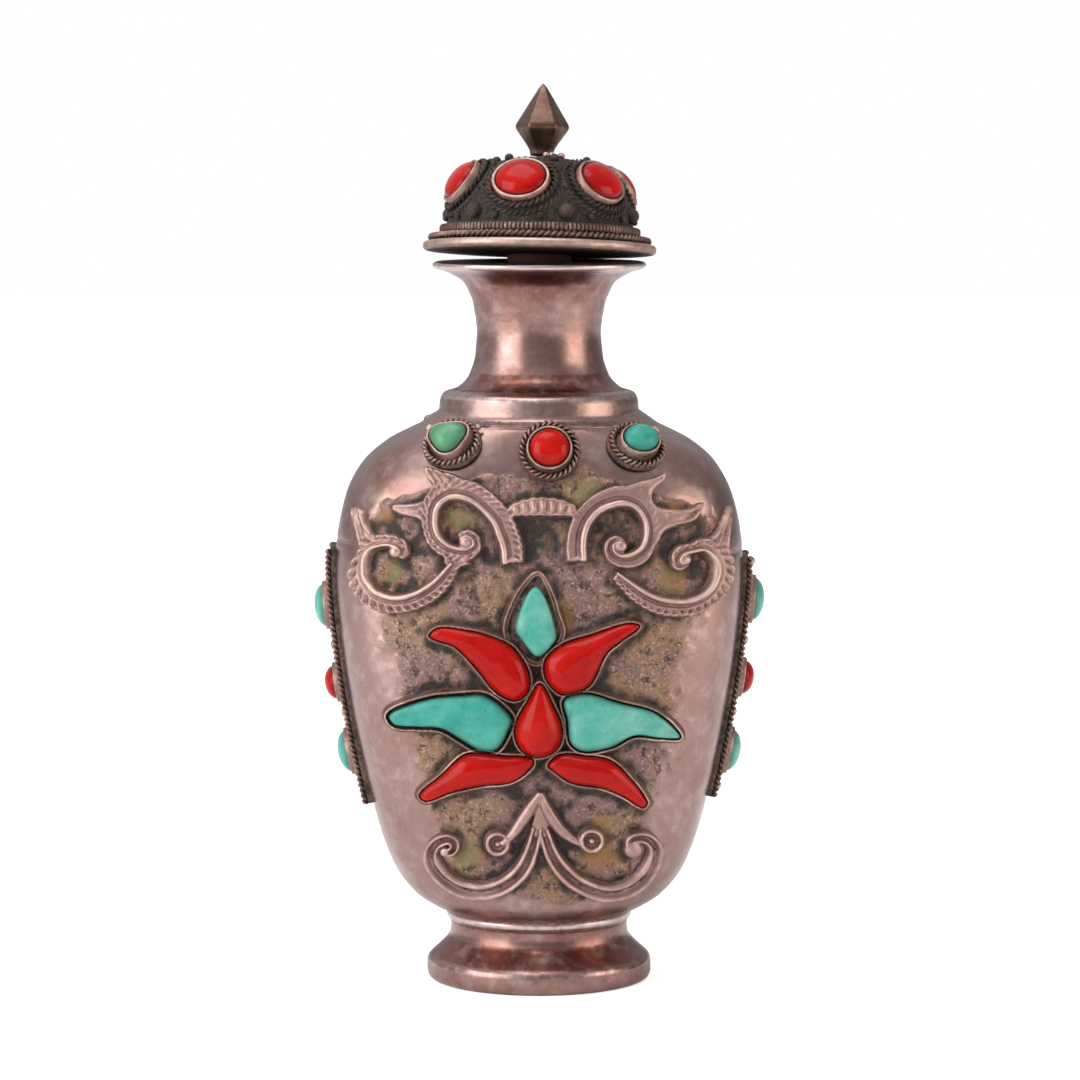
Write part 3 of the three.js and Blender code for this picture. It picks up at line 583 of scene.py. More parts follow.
def leaf(corners, tips):
    """A flat leaf with the given outline. Tips are x, z, reach, spacing in degrees and depth of the lines
    engraved towards them."""
    loop = smooth_loop(corners, 0.1)

    def form(x, z):
        lift = np.full(x.shape, NOWHERE)
        engraved = np.zeros(x.shape)
        near = round_about(x, z, loop, 1.0)
        px, pz = x[near], z[near]
        away = np.sqrt(np.min((px[:, None] - loop[:, 0]) ** 2 + (pz[:, None] - loop[:, 1]) ** 2, 1))
        within = inside(np.stack([px, pz], -1), loop)
        lift[near] = FLANGE_LEVEL - np.where(within, 0, away) * WALL_SLOPE
        lines = np.zeros(px.shape)
        for tip_x, tip_z, reach, spacing, depth in tips:
            off = np.hypot(px - tip_x, pz - tip_z)
            bearing = np.degrees(np.arctan2(pz - tip_z, px - tip_x))
            wave = 0.5 + 0.5 * np.cos(2 * math.pi * bearing / spacing)
            fade = np.clip(off / 0.8, 0, 1) * np.clip((reach - off) / 0.6, 0, 1)
            lines = np.maximum(lines, depth * wave ** 1.6 * fade * within)
        engraved[near] = lines
        return lift, engraved
    return form


def route_places(route, shares):
    """x, z and heading along a route: a start, a heading and arcs of length in mm and turn in degrees."""
    (x, z), heading, arcs = route
    heading = math.radians(heading)
    travelled = np.asarray(shares, float) * sum(length for length, _ in arcs)
    places = np.zeros((len(travelled), 3))
    begun = 0.0
    for length, turn in arcs:
        part = (travelled - begun) / length
        swing = math.radians(turn) * part
        chord = length * part * np.sinc(swing / 2 / math.pi)
        on = part >= -1e-9
        places[on] = np.stack([x + chord * np.cos(heading + swing / 2),
                               z + chord * np.sin(heading + swing / 2), heading + swing], -1)[on]
        whole = math.radians(turn)
        chord = length * np.sinc(whole / 2 / math.pi)
        x += chord * math.cos(heading + whole / 2)
        z += chord * math.sin(heading + whole / 2)
        heading += whole
        begun += length
    return places.T


def band(route, widths, section, outer_side=1, level=1.0, rib=0.0):
    """A band of relief along a route. The section runs from the outer edge at -1 to the inner edge at 1,
    and outer_side is 1 where the outer edge is on the left. rib is the width of upright ribs, if any."""
    total = sum(length for length, _ in route[2])
    shares = np.linspace(0, 1, int(total / 0.05) + 2)
    route_x, route_z, heading = route_places(route, shares)
    line = np.stack([route_x, route_z], -1)
    section = np.array(section)
    width_rows = [(i / (len(widths) - 1), width) for i, width in enumerate(widths)]

    def form(x, z):
        lift = np.full(x.shape, NOWHERE)
        near = round_about(x, z, line, max(widths) / 2 + 1.0)
        px, pz = x[near], z[near]
        closest = nearest_on(px, pz, line)
        dx, dz, way = px - route_x[closest], pz - route_z[closest], heading[closest]
        across = -np.sin(way) * dx + np.cos(way) * dz
        along = np.cos(way) * dx + np.sin(way) * dz
        half = table_curve(width_rows, shares[closest]) / 2
        u = np.clip(-outer_side * across / half, -1, 1)
        past = np.where((closest == 0) | (closest == len(line) - 1), np.maximum(np.abs(along) - 0.1, 0), 0)
        surface = np.interp(u, section[:, 0], section[:, 1]) * level
        if rib:
            turn = math.pi * (shares[closest] * total + along) / rib
            surface = surface + 0.34 * (np.abs(np.sin(turn)) - 0.8)
        lift[near] = surface - (np.maximum(np.abs(across) - half, 0) + past) * WALL_SLOPE
        return lift, np.zeros(x.shape)
    return form


def boss(at_x, at_z, radius, top):
    """A round knob of relief, the eye of a curl."""
    def form(x, z):
        share = np.hypot(x - at_x, z - at_z) / radius
        round_part = top - (top - 0.45) * (1 - np.sqrt(np.clip(1 - share ** 2, 0, 1)))
        return np.where(share < 1, round_part, 0.45 - (share - 1) * radius * WALL_SLOPE), np.zeros(x.shape)
    return form


def ring_boss(at_x, at_z, radius, top):
    """An eye: a small knob inside a round rim."""
    def form(x, z):
        away = np.hypot(x - at_x, z - at_z)
        rim = top - 6.0 * (away - radius * 0.74) ** 2
        eye = top + 0.05 - 4.0 * away ** 2
        return np.where(away < radius, np.maximum(np.maximum(rim, eye), 0.3),
                        top - 0.4 - (away - radius) * WALL_SLOPE), np.zeros(x.shape)
    return form


def blurred(values, passes):
    for _ in range(passes):
        inner = (values[:-2, 1:-1] + values[2:, 1:-1] + values[1:-1, :-2] + values[1:-1, 2:]
                 + 2 * values[1:-1, 1:-1]) / 6
        values = values.copy()
        values[1:-1, 1:-1] = inner
    return values


EDGE_RIM = [(0.0, 0.0), (0.1, 0.8), (0.24, 0.92), (0.36, 0.86), (0.55, 0.6), (0.7, 0.0)]


def edge_rim(lift, step):
    """The raised edge that follows the outline of a casting, by distance in from the outline."""
    left = (lift > 0.3).astype(float)
    distance = np.zeros(lift.shape)
    for _ in range(int(EDGE_RIM[-1][0] / step)):
        shrunk = left.copy()
        for axis in (0, 1):
            for shift in (-1, 1):
                shrunk = np.minimum(shrunk, np.roll(left, shift, axis))
        left = shrunk
        distance += left * step
    return np.interp(blurred(distance, 2), *np.array(EDGE_RIM).T)


def relief_sheet(forms, x_from, x_to, z_from, z_to, step=CAST_STEP, rimmed=False):
    """A sheet of relief over the front, kept where it stands above the wall. Forms melt into each other."""
    x, z = np.meshgrid(np.arange(x_from, x_to, step), np.arange(z_from, z_to, step))
    melt = 0.05
    total = np.zeros(x.shape)
    engraved = np.zeros(x.shape)
    for form in forms:
        lift, cuts = form(x, z)
        total += np.exp(np.clip(lift, -2, 2) / melt)
        engraved = np.maximum(engraved, cuts)
    lift = melt * np.log(total)
    if rimmed:
        lift = np.where(lift > 0.3, np.maximum(lift, edge_rim(lift, step)), lift)
    lift = blurred(lift - engraved, 1)
    flat = np.stack([x, np.zeros_like(x), z], -1)
    lift += value_noise(flat, 1.1, 10) * 0.05 + value_noise(flat, 0.5, 11) * 0.03
    points, _ = over_front(x, z, np.maximum(lift, -0.3))
    rows, columns = x.shape
    corner = (np.arange(rows - 1)[:, None] * columns + np.arange(columns - 1)).reshape(-1)
    quads = np.stack([corner, corner + 1, corner + columns + 1, corner + columns], -1)
    quads = quads[(lift.reshape(-1)[quads] > -0.25).any(1)]
    used, faces = np.unique(quads, return_inverse=True)
    # High places are those that stand above the relief round them
    proud = np.clip((lift - blurred(lift, 12)) / 0.08, -1, 1)
    rise = np.clip(0.2 + 0.4 * proud + (lift - 0.75) * 0.7, 0, 1)
    # Engraved lines darken with dirt; the low edges down to the wall and the hollows darken with dirt and
    # painted shade together
    soil = engraved * 1.1 + np.clip((0.42 - lift) / 0.3, 0, 1) * 0.8 + np.clip(-proud - 0.3, 0, 1) * 0.55
    return (points.reshape(-1, 3)[used], faces.reshape(-1, 4).tolist(),
            {"rise": rise.reshape(-1)[used], "soil": soil.reshape(-1)[used], "tarnish": 0.25})


# The grooves of the four scrolls, each from its foot to its eye
INNER_RIGHT = [
    (3.8, 43.4, 1.15, 0.95), (3.7, 44.9, 1.1, 1.0), (3.9, 46.3, 1.05, 1.0), (4.5, 47.6, 1.0, 1.0),
    (5.5, 48.6, 1.0, 1.0), (6.7, 49.1, 1.1, 0.95), (8.0, 49.3, 1.2, 0.9), (9.3, 48.9, 1.2, 0.85),
    (10.1, 48.1, 1.0, 0.8), (10.6, 47.0, 0.7, 0.8), (10.7, 45.8, 0.65, 0.8), (10.4, 44.7, 0.7, 0.8),
    (9.8, 44.0, 0.9, 0.75), (8.8, 43.5, 0.9, 0.7), (7.8, 43.5, 0.8, 0.6), (7.0, 44.1, 0.75, 0.5),
    (6.9, 44.9, 0.6, 0.4), (7.4, 45.3, 0.5, 0.35), (8.0, 45.0, 0.45, 0.3)]
INNER_LEFT = [
    (-2.8, 43.2, 1.3, 0.9), (-2.9, 44.6, 1.35, 0.95), (-3.3, 45.9, 1.35, 0.95), (-3.9, 47.3, 1.3, 0.9),
    (-4.9, 48.4, 1.3, 0.85), (-6.0, 49.3, 1.3, 0.85), (-7.3, 49.8, 1.3, 0.85), (-8.5, 49.8, 1.2, 0.85),
    (-9.5, 49.3, 1.1, 0.85), (-10.2, 48.4, 1.0, 0.85), (-10.4, 47.3, 0.8, 0.85), (-10.3, 46.1, 0.8, 0.85),
    (-9.8, 45.2, 0.85, 0.8), (-8.9, 44.5, 0.85, 0.7), (-7.9, 44.2, 0.8, 0.6), (-6.8, 44.2, 0.8, 0.5),
    (-6.1, 44.8, 0.6, 0.4), (-6.2, 45.5, 0.5, 0.35), (-6.9, 45.9, 0.5, 0.3), (-7.6, 45.6, 0.4, 0.3)]
OUTER_LEFT = [
    (-8.2, 42.9, 0.6, 0.5), (-8.9, 42.0, 0.9, 0.6), (-9.9, 40.9, 1.0, 0.7), (-11.0, 40.1, 1.1, 0.75),
    (-12.2, 39.5, 1.1, 0.8), (-13.5, 39.2, 1.1, 0.8), (-14.6, 39.3, 1.2, 0.8), (-15.6, 39.7, 1.3, 0.8),
    (-16.4, 40.5, 1.4, 0.75), (-16.9, 41.5, 1.4, 0.75), (-17.0, 42.6, 1.0, 0.75), (-16.8, 43.6, 0.6, 0.7),
    (-16.2, 44.4, 0.8, 0.6), (-15.2, 44.8, 0.85, 0.5), (-14.2, 44.9, 0.8, 0.45), (-13.3, 44.6, 0.75, 0.4),
    (-13.0, 44.1, 0.6, 0.35), (-13.3, 43.6, 0.4, 0.3)]
OUTER_RIGHT = [
    (7.4, 41.9, 0.5, 0.5), (8.4, 41.1, 0.7, 0.6), (9.4, 40.3, 0.9, 0.7), (10.5, 39.6, 1.0, 0.75),
    (11.8, 39.1, 1.1, 0.8), (13.0, 38.9, 1.1, 0.8), (14.2, 38.9, 1.1, 0.8), (15.3, 39.2, 1.1, 0.8),
    (16.4, 39.9, 1.1, 0.8), (17.1, 40.9, 1.2, 0.8), (17.4, 42.0, 1.3, 0.8), (17.2, 43.1, 1.2, 0.75),
    (16.5, 44.0, 1.0, 0.7), (15.6, 44.4, 0.9, 0.5), (14.6, 44.3, 0.6, 0.5), (13.6, 44.0, 0.7, 0.45),
    (13.2, 43.3, 0.6, 0.4), (13.5, 42.7, 0.5, 0.35), (14.1, 43.0, 0.4, 0.3)]

# The outlines of the leaves, which grow out of the flanges
FLAME_RIGHT = [
    (6.6, 49.8), (7.9, 50.3), (9.6, 50.8), (11.0, 51.1), (12.2, 51.5), (11.9, 50.7), (11.1, 50.1),
    (10.8, 49.5), (11.0, 48.7), (11.6, 48.3), (13.0, 48.1), (14.4, 48.1), (15.7, 48.6), (15.5, 47.8),
    (14.9, 47.0), (14.0, 46.7), (12.8, 46.4), (11.9, 46.0), (11.5, 45.2), (11.2, 44.8), (10.9, 45.3),
    (10.8, 47.2), (10.1, 48.6), (8.5, 49.7)]
FLAME_LEFT = [
    (-4.0, 48.9), (-5.3, 49.9), (-6.6, 50.7), (-7.9, 51.4), (-9.4, 51.8), (-11.0, 52.1), (-10.7, 51.2),
    (-10.2, 50.4), (-10.4, 49.5), (-11.2, 48.9), (-12.5, 48.6), (-13.9, 48.5), (-14.0, 48.0), (-13.1, 47.6),
    (-12.1, 47.4), (-11.4, 47.2), (-11.2, 46.5), (-11.0, 45.8), (-10.6, 46.2), (-10.6, 47.9), (-9.9, 49.3),
    (-8.4, 50.2), (-6.6, 50.2), (-5.1, 49.4)]
LEAF_LEFT = [
    (-17.9, 47.8), (-17.4, 48.0), (-16.8, 47.7), (-16.6, 46.9), (-16.2, 46.0), (-15.7, 45.4), (-15.1, 45.2),
    (-16.4, 44.6), (-17.0, 43.9), (-17.2, 44.7), (-17.5, 45.9), (-17.8, 46.8)]
LEAF_RIGHT = [
    (18.5, 48.0), (18.5, 46.7), (18.3, 45.3), (18.3, 43.9), (18.4, 42.8), (17.7, 43.2), (16.8, 44.3),
    (15.6, 44.8), (16.1, 45.0), (16.8, 45.5), (17.5, 46.3), (18.0, 47.3)]

# Heights across the plain bands
TWO_RIMS = [(-1.0, 0.40), (-0.94, 0.62), (-0.82, 0.84), (-0.62, 0.95), (-0.44, 0.8), (-0.28, 0.5),
            (-0.14, 0.32), (0.02, 0.30), (0.16, 0.38), (0.3, 0.62), (0.46, 0.88), (0.64, 0.98),
            (0.82, 0.86), (0.94, 0.6), (1.0, 0.38)]
FLAT = [(-1.0, 0.55), (-0.8, 0.7), (0.0, 0.72), (0.8, 0.7), (1.0, 0.55)]
ROUND = [(-1.0, 0.35), (-0.9, 0.55), (-0.7, 0.76), (-0.35, 0.92), (0.0, 0.97), (0.35, 0.92),
         (0.7, 0.76), (0.9, 0.55), (1.0, 0.35)]
ARCH = ((-2.7, 48.1), 16, [(6.2, -32)])
ARCH_WIDTHS = [1.3, 1.9, 2.1, 1.9, 1.3]
ARCH_RIB = 0.9

upper_forms = [
    scroll(INNER_RIGHT, 0.55, 0.6, 0.05, 0.5),
    scroll(INNER_LEFT, 0.62, 1.0, 0.2),
    scroll(OUTER_RIGHT, 0.68, 0.6, 0.22),
    scroll(OUTER_LEFT, 0.7, 0.7, 0.26),
    leaf(FLAME_RIGHT, [(15.9, 48.4, 4.0, 24, 0.16), (12.5, 51.8, 2.4, 30, 0.06)]),
    leaf(FLAME_LEFT, [(-11.6, 53.4, 4.6, 9, 0.22), (-15.6, 48.2, 4.6, 8.5, 0.16)]),
    leaf(LEAF_LEFT, [(-17.6, 49.5, 4.6, 10, 0.14)]),
    leaf(LEAF_RIGHT, [(18.7, 48.9, 5.4, 7.5, 0.2)]),
    band(ARCH, ARCH_WIDTHS, ROUND, 1, 1.0, ARCH_RIB),
    band(((-9.0, 43.3), -6, [(2.3, 0)]), [0.7, 1.0, 0.9, 0.3], FLAT, 1, 0.85),
    boss(7.8, 44.75, 0.7, 1.3),
    boss(-7.05, 45.1, 0.7, 1.3),
    boss(13.9, 43.3, 0.65, 1.3),
    boss(-13.7, 44.1, 0.65, 1.3),
]
# Cast, then rubbed: paler and rougher than the vessel, so that it gives broad dull lights on the rims
casting_metal = aged_metal("worn_cast_alloy", "#cab0a7", "#a3857d", "#82625b", "#2a221c", 0.4)
upper_sheet = relief_sheet(upper_forms, -19.7, 19.9, 36.5, 53.2, rimmed=True)
finished(mesh_piece("upper_scrolls", [], casting_metal, [upper_sheet]), "front_upper_scroll")

LOWER_RIGHT = ((0.44, 16.9), -72, [(1.5, -1), (6.7, 53), (7.9, 104), (3.1, 116), (1.4, 133)])
LOWER_LEFT = ((-0.2, 17.1), -100, [(3.1, -11), (4.7, -50), (6.9, -82), (3.4, -106), (2.5, -217)])
ARM_RIGHT = ((0.1, 20.6), -72, [(2.0, 9), (1.7, 11), (3.0, 35)])
ARM_LEFT = ((0.1, 20.6), -121, [(4.2, -3), (2.0, -20)])
LOWER_WIDTHS = [1.2, 1.75, 1.85, 1.75, 1.45, 0.9]


def end_of(route):
    x, z, _ = route_places(route, [1.0])
    return x[0], z[0]


lower_forms = [
    band(LOWER_RIGHT, LOWER_WIDTHS, TWO_RIMS, -1),
    band(LOWER_LEFT, LOWER_WIDTHS, TWO_RIMS, 1),
    boss(*end_of(LOWER_RIGHT), 0.9, 1.1),
    boss(*end_of(LOWER_LEFT), 0.5, 1.05),
    band(((0.1, 20.0), -90, [(3.6, 0)]), [0.2, 0.8, 1.5, 2.0], FLAT, 1, 0.75),
    band(ARM_RIGHT, [0.9, 1.25, 1.15, 0.8], ROUND, 1),
    band(ARM_LEFT, [0.9, 1.25, 1.15, 0.8], ROUND, -1),
    ring_boss(5.1, 15.9, 1.35, 1.0),
    ring_boss(-4.0, 15.6, 1.35, 0.95),
]
lower_sheet = relief_sheet(lower_forms, -11.8, 12.2, 8.4, 21.8)
finished(mesh_piece("lower_scrolls", [], casting_metal, [lower_sheet]), "front_lower_scroll")

# The back carries plainer scrolls of the same kind, turned half round
HALF_TURN = np.array([-1.0, -1.0, 1.0])


def turned_to_back(parts):
    return [(part[0] * HALF_TURN,) + tuple(part[1:]) for part in parts]


back_upper_forms = [upper_forms[0], upper_forms[1], upper_forms[8], upper_forms[10], upper_forms[11]]
back_upper = turned_to_back([relief_sheet(back_upper_forms, -12.4, 12.6, 41.6, 52.6, 0.1, True)])
finished(mesh_piece("back_scrolls_upper", [], casting_metal, back_upper), "back_upper_scroll")
back_lower = turned_to_back([relief_sheet(lower_forms[:5], -11.8, 12.2, 8.4, 21.8, 0.1)])
finished(mesh_piece("back_scrolls_lower", [], casting_metal, back_lower), "back_lower_scroll")

# Flower
# Eight cut stones, five of coral and three of turquoise. Each sits in a cell bent from a thin strip with
# a beaded edge, and the cells are soldered to the wall and to each other.


def straight_out(x, z, height):
    """Points a height off the front wall, reached straight along Y."""
    at, normal = over_front(x, z, 0)
    at[..., 1] += height / normal[..., 1]
    return at


def outward_from(loop):
    tangent = np.roll(loop, -1, 0) - np.roll(loop, 1, 0)
    turning = np.sum(loop[:, 0] * np.roll(loop[:, 1], -1) - np.roll(loop[:, 0], -1) * loop[:, 1])
    out = np.stack([tangent[:, 1], -tangent[:, 0]], -1) * np.sign(turning)
    for _ in range(3):
        out = (np.roll(out, 1, 0) + 2 * out + np.roll(out, -1, 0)) / 4
    return out / np.linalg.norm(out, axis=1, keepdims=True)


STONE_SEAT = 0.4
STONE_EDGE = 0.98


def cut_stone(loop, spine, fullness):
    """A polished stone with a given outline, domed towards a spine of x, z and crown height."""
    spine = np.array(spine, float)
    line = np.stack([np.interp(np.linspace(0, len(spine) - 1, 80), range(len(spine)), spine[:, i])
                     for i in range(3)], -1)
    nearest = np.argmin(np.linalg.norm(loop[:, None] - line[None, :, :2], axis=2), 1).astype(float)
    turn = np.exp(2j * math.pi * nearest / 160)
    for _ in range(12):
        turn = (np.roll(turn, 1) + 2 * turn + np.roll(turn, -1)) / 4
    target = line[np.clip(np.angle(turn) / math.pi * 80, 0, 79).astype(int)]
    share = np.concatenate([[1.0, 1.0], np.sin(np.linspace(math.pi / 2 - 0.12, 0, 18))])
    body = (1 - share ** fullness) ** 0.6
    xz = target[None, :, :2] + (loop - target[:, :2])[None] * share[:, None, None]
    lift = STONE_EDGE + (target[None, :, 2] - STONE_EDGE) * 1.15 * body[:, None]
    lift[0] = STONE_SEAT
    lift[1] = STONE_EDGE - 0.06
    # The stone's rim is darkened with painted shade where it curves down into its cell
    painted_rim_shade = share[:, None] ** 7 * np.ones(len(loop))
    return straight_out(xz[..., 0], xz[..., 1], lift), False, True, {"edge": painted_rim_shade}


def glossy_stone(name, low, middle, high, roughness, grain, veins, specular=0.35):
    """Ground and polished stone with soft clouds, a fine grain of the given size in mm and darker veins. Its
    rim is darkened with painted shade where it goes down into its cell."""
    material = bpy.data.materials.new(name)
    material.use_nodes = True
    tree = material.node_tree
    tree.nodes.clear()
    place = add_node(tree, "ShaderNodeTexCoord").outputs["Object"]
    clouds = add_node(tree, "ShaderNodeTexNoise", Vector=place, Scale=1000 / (grain * 4), Detail=4.0,
                      Roughness=0.6, Distortion=0.5).outputs["Fac"]
    fine = add_node(tree, "ShaderNodeTexNoise", Vector=place, Scale=1000 / grain, Detail=4.0,
                    Roughness=0.6).outputs["Fac"]
    cloudy = add_node(tree, "ShaderNodeMapRange", _0=clouds, _1=0.35, _2=0.68).outputs[0]
    colour = add_node(tree, "ShaderNodeMix", {"data_type": "RGBA"}, _0=cloudy, _6=linear(middle),
                      _7=linear(high)).outputs[2]
    dark = add_node(tree, "ShaderNodeMapRange", _0=fine, _1=0.6, _2=0.8, _3=0.0, _4=veins).outputs[0]
    # The edge attribute is painted shade on the stone's rim
    edge = add_node(tree, "ShaderNodeAttribute", {"attribute_name": "edge"}).outputs["Fac"]
    rim = add_node(tree, "ShaderNodeMapRange", _0=edge, _1=0.1, _2=1.0, _3=0.0, _4=0.75).outputs[0]
    dark = add_node(tree, "ShaderNodeMath", {"operation": "MAXIMUM"}, _0=dark, _1=rim).outputs[0]
    colour = add_node(tree, "ShaderNodeMix", {"data_type": "RGBA"}, _0=dark, _6=colour,
                      _7=linear(low)).outputs[2]
    bump = add_node(tree, "ShaderNodeBump", Height=fine, Distance=0.02 * MM, Strength=0.4)
    shader = add_node(tree, "ShaderNodeBsdfPrincipled", Base_Color=colour, Normal=bump.outputs[0])
    shader.inputs["Roughness"].default_value = roughness
    shader.inputs["Specular IOR Level"].default_value = specular
    add_node(tree, "ShaderNodeOutputMaterial", Surface=shader.outputs[0])
    return material


# Coral polished on a wheel, even and deep red, which gives small bright highlights
polished_coral = glossy_stone("polished_red_coral", "#5f0403", "#970904", "#b2130a", 0.14, 0.8, 0.7, 0.16)
# Turquoise is softer and takes only a satin polish, so it gives chalky clouds and wide faint highlights
satin_turquoise = glossy_stone("satin_turquoise", "#1b564c", "#3a9586", "#6fac9e", 0.34, 0.7, 0.7)
deep_turquoise = glossy_stone("satin_deep_turquoise", "#0f443d", "#1f8577", "#4ba193", 0.34, 0.7, 0.8)
green_turquoise = glossy_stone("satin_green_turquoise", "#15352a", "#2a6843", "#549068", 0.3, 0.7, 0.9)

# The stone, its outline corners as x and z, its spine as x, z and crown height, and the gap to the cell
FLOWER = {
    "top": (
        "turquoise",
        [(-0.3, 40.9), (0.7, 39.6), (1.6, 36.8), (1.6, 35.7), (-0.1, 34.1), (-1.8, 35.9), (-2.3, 36.9),
         (-1.3, 39.9)],
        [(-0.3, 35.4, 1.5), (-0.3, 37.0, 1.6), (-0.3, 40.0, 1.3)], 0.2),
    "upper_left": (
        "coral",
        [(-10.6, 36.1), (-9.7, 36.8), (-7.5, 36.7), (-5.1, 36.2), (-2.5, 34.9), (-1.0, 32.4), (-1.1, 30.6),
         (-2.4, 29.8), (-4.3, 30.8), (-6.1, 33.0), (-8.1, 35.0), (-10.0, 35.7)],
        [(-2.4, 31.6, 2.1), (-4.2, 33.6, 2.1), (-6.6, 35.4, 1.7), (-9.7, 36.3, 1.3)], 0.1),
    "upper_right": (
        "coral",
        [(9.7, 37.0), (7.9, 35.6), (6.5, 34.4), (5.0, 31.4), (3.6, 30.6), (2.0, 30.5), (0.7, 32.0),
         (0.7, 33.8), (2.4, 35.3), (5.5, 36.3), (8.3, 37.2)],
        [(2.4, 32.4, 2.1), (4.4, 34.2, 2.1), (6.6, 35.5, 1.7), (9.0, 36.9, 1.3)], 0.1),
    "centre": (
        "coral",
        [(0.1, 31.4), (1.4, 29.2), (2.2, 27.2), (2.0, 25.4), (0.8, 24.4), (-0.8, 24.3), (-2.0, 25.4),
         (-2.3, 27.2), (-1.2, 29.5)],
        [(0.0, 26.3, 2.5), (0.0, 28.0, 2.4), (0.1, 30.6, 1.6)], 0.1),
    "left": (
        "turquoise",
        [(-14.6, 28.0), (-13.3, 28.9), (-10.3, 29.9), (-7.5, 30.2), (-5.2, 30.2), (-2.7, 28.1), (-3.0, 26.8),
         (-4.1, 25.0), (-5.7, 24.9), (-7.5, 25.9), (-9.5, 27.0), (-11.9, 27.1), (-14.0, 27.2)],
        [(-4.7, 27.4, 1.8), (-7.5, 28.0, 1.8), (-10.6, 28.4, 1.5), (-13.9, 28.0, 1.2)], 0.3),
    "right": (
        "turquoise",
        [(2.5, 29.8), (4.6, 30.4), (7.7, 29.5), (11.3, 28.4), (13.7, 26.0), (11.9, 26.0), (9.3, 26.3),
         (7.0, 25.2), (4.4, 24.8), (3.1, 25.6), (2.8, 27.8)],
        [(4.5, 27.5, 1.8), (7.4, 27.6, 1.8), (10.0, 27.4, 1.5), (13.1, 26.4, 1.2)], 0.2),
    "lower_left": (
        "coral",
        [(-11.6, 20.3), (-9.5, 22.3), (-7.5, 24.2), (-6.1, 24.6), (-3.5, 24.3), (-0.7, 24.1), (-0.7, 23.3),
         (-2.6, 21.8), (-5.5, 21.4), (-8.5, 20.7), (-11.0, 19.7)],
        [(-1.6, 23.6, 1.5), (-4.6, 23.0, 1.9), (-7.0, 22.6, 1.9), (-10.9, 20.3, 1.3)], 0.1),
    "lower_right": (
        "coral",
        [(0.9, 23.4), (2.0, 24.4), (4.6, 24.3), (6.8, 23.9), (8.8, 22.1), (10.5, 19.6), (10.1, 19.1),
         (8.2, 20.3), (6.0, 21.2), (3.2, 21.7), (1.4, 22.9)],
        [(1.8, 23.4, 1.5), (4.4, 23.0, 1.9), (6.6, 22.5, 1.9), (10.0, 19.8, 1.3)], 0.1),
}
STONE_FINISH = {"coral": polished_coral, "turquoise": satin_turquoise, "green_turquoise": green_turquoise}
# The topmost cell is roomier than its stone
TOP_CELL = [(-0.1, 42.0), (0.8, 40.7), (1.6, 38.5), (2.1, 36.0), (-0.1, 33.5), (-2.6, 35.3), (-3.1, 36.8),
            (-2.4, 39.0), (-1.3, 41.0)]
CELL_WALL = 0.2
CELL_HEIGHT = 1.02
TOP_CELL_HEIGHT = 0.7
SHARED_HEIGHT = 0.45
BEAD_PITCH = 0.6
# The corals are cut rounder than the turquoises, which have flat tops
FULLNESS = {"coral": 1.9, "turquoise": 3.4}
loops_of = {name: smooth_loop(corners) for name, (_, corners, _, _) in FLOWER.items()}

cells = []
for name, (kind, _, spine, gap) in FLOWER.items():
    loop = smooth_loop(TOP_CELL) if name == "top" else loops_of[name]
    flat_loop = np.pad(loop, ((0, 0), (0, 1)))
    out = outward_from(loop)
    middle = loop + out * (gap + CELL_WALL / 2)
    # Where two cells meet they share one low strip
    shared = np.zeros(len(loop), bool)
    for other, other_loop in loops_of.items():
        if other != name:
            shared |= inside(middle, other_loop + outward_from(other_loop) * FLOWER[other][3])
    run = np.arange(len(loop)) * LOOP_STEP
    bead = 0.03 * np.sin(run * 2 * math.pi / BEAD_PITCH) + value_noise(flat_loop, 0.9, 8) * 0.12
    top = np.where(shared, SHARED_HEIGHT, (TOP_CELL_HEIGHT if name == "top" else CELL_HEIGHT) + bead)
    # Across the strip from the stone outwards: distance, whether the height counts from its top, and height
    rows = [(gap - 0.3, False, 0.4), (gap, False, 0.4), (gap, True, -0.06), (gap + 0.04, True, 0.0),
            (gap + 0.15, True, 0.0), (gap + CELL_WALL, True, -0.07), (gap + CELL_WALL + 0.05, False, 0.42),
            (gap + CELL_WALL + 0.2, False, 0.12), (gap + CELL_WALL + 0.3, False, -0.1)]
    away = np.array([row[0] for row in rows])[:, None] + value_noise(flat_loop, 1.5, 9) * 0.04
    lift = np.stack([top + row[2] if row[1] else np.minimum(row[2] + 0 * top, top) for row in rows])
    xz = loop[None] + out[None] * away[..., None]
    worn = np.clip(0.35 + value_noise(flat_loop, 2.2, 13) * 0.9, 0, 1)
    soil = np.array([1, 1, 0.9, 0.3, 0.2, 0.3, 0.5, 0.6, 0.6])[:, None] * (1.15 - 0.5 * worn)
    rise = np.array([0, 0, 0, 1, 1, 0.6, 0, 0, 0])[:, None] * worn
    soil *= 0.45 if name == "top" else 1.0
    cells.append((straight_out(xz[..., 0], xz[..., 1], lift), False, True, {"soil": soil, "rise": rise}))
    stone = cut_stone(loops_of[name], spine, FULLNESS[kind])
    finish = deep_turquoise if name == "left" else STONE_FINISH[kind]
    finished(mesh_piece("flower_stone_" + name, [stone], finish), "front_flower_stone_" + name)

# Strip and drawn wire, never polished: browner and duller, bright only on the strands' tops
setting_metal = aged_metal("worn_setting_alloy", "#c0a79a", "#886d61", "#654b42", "#1a1511", 0.38)
finished(mesh_piece("flower_cells", cells, setting_metal), "front_flower_setting")

# Shoulder settings
# Three stones on the shoulder of each face, each in a plain bezel inside a ring of twisted wire, with
# granules beside the outer two. Bezels, wires and granules are alloy, soldered to a thin plate.
SOLDER = 0.12


def spot_at(origin, normal):
    """A spot on the metal: its origin, and its side, up and outward directions."""
    up = np.array(normal, float) / np.linalg.norm(normal)
    side = np.cross((0, 0, 1), up)
    side /= np.linalg.norm(side)
    return np.array(origin, float), np.stack([side, np.cross(up, side), up])


def front_spot(x, z, height):
    at, normal = over_front(x, z, height)
    return spot_at(at, normal)


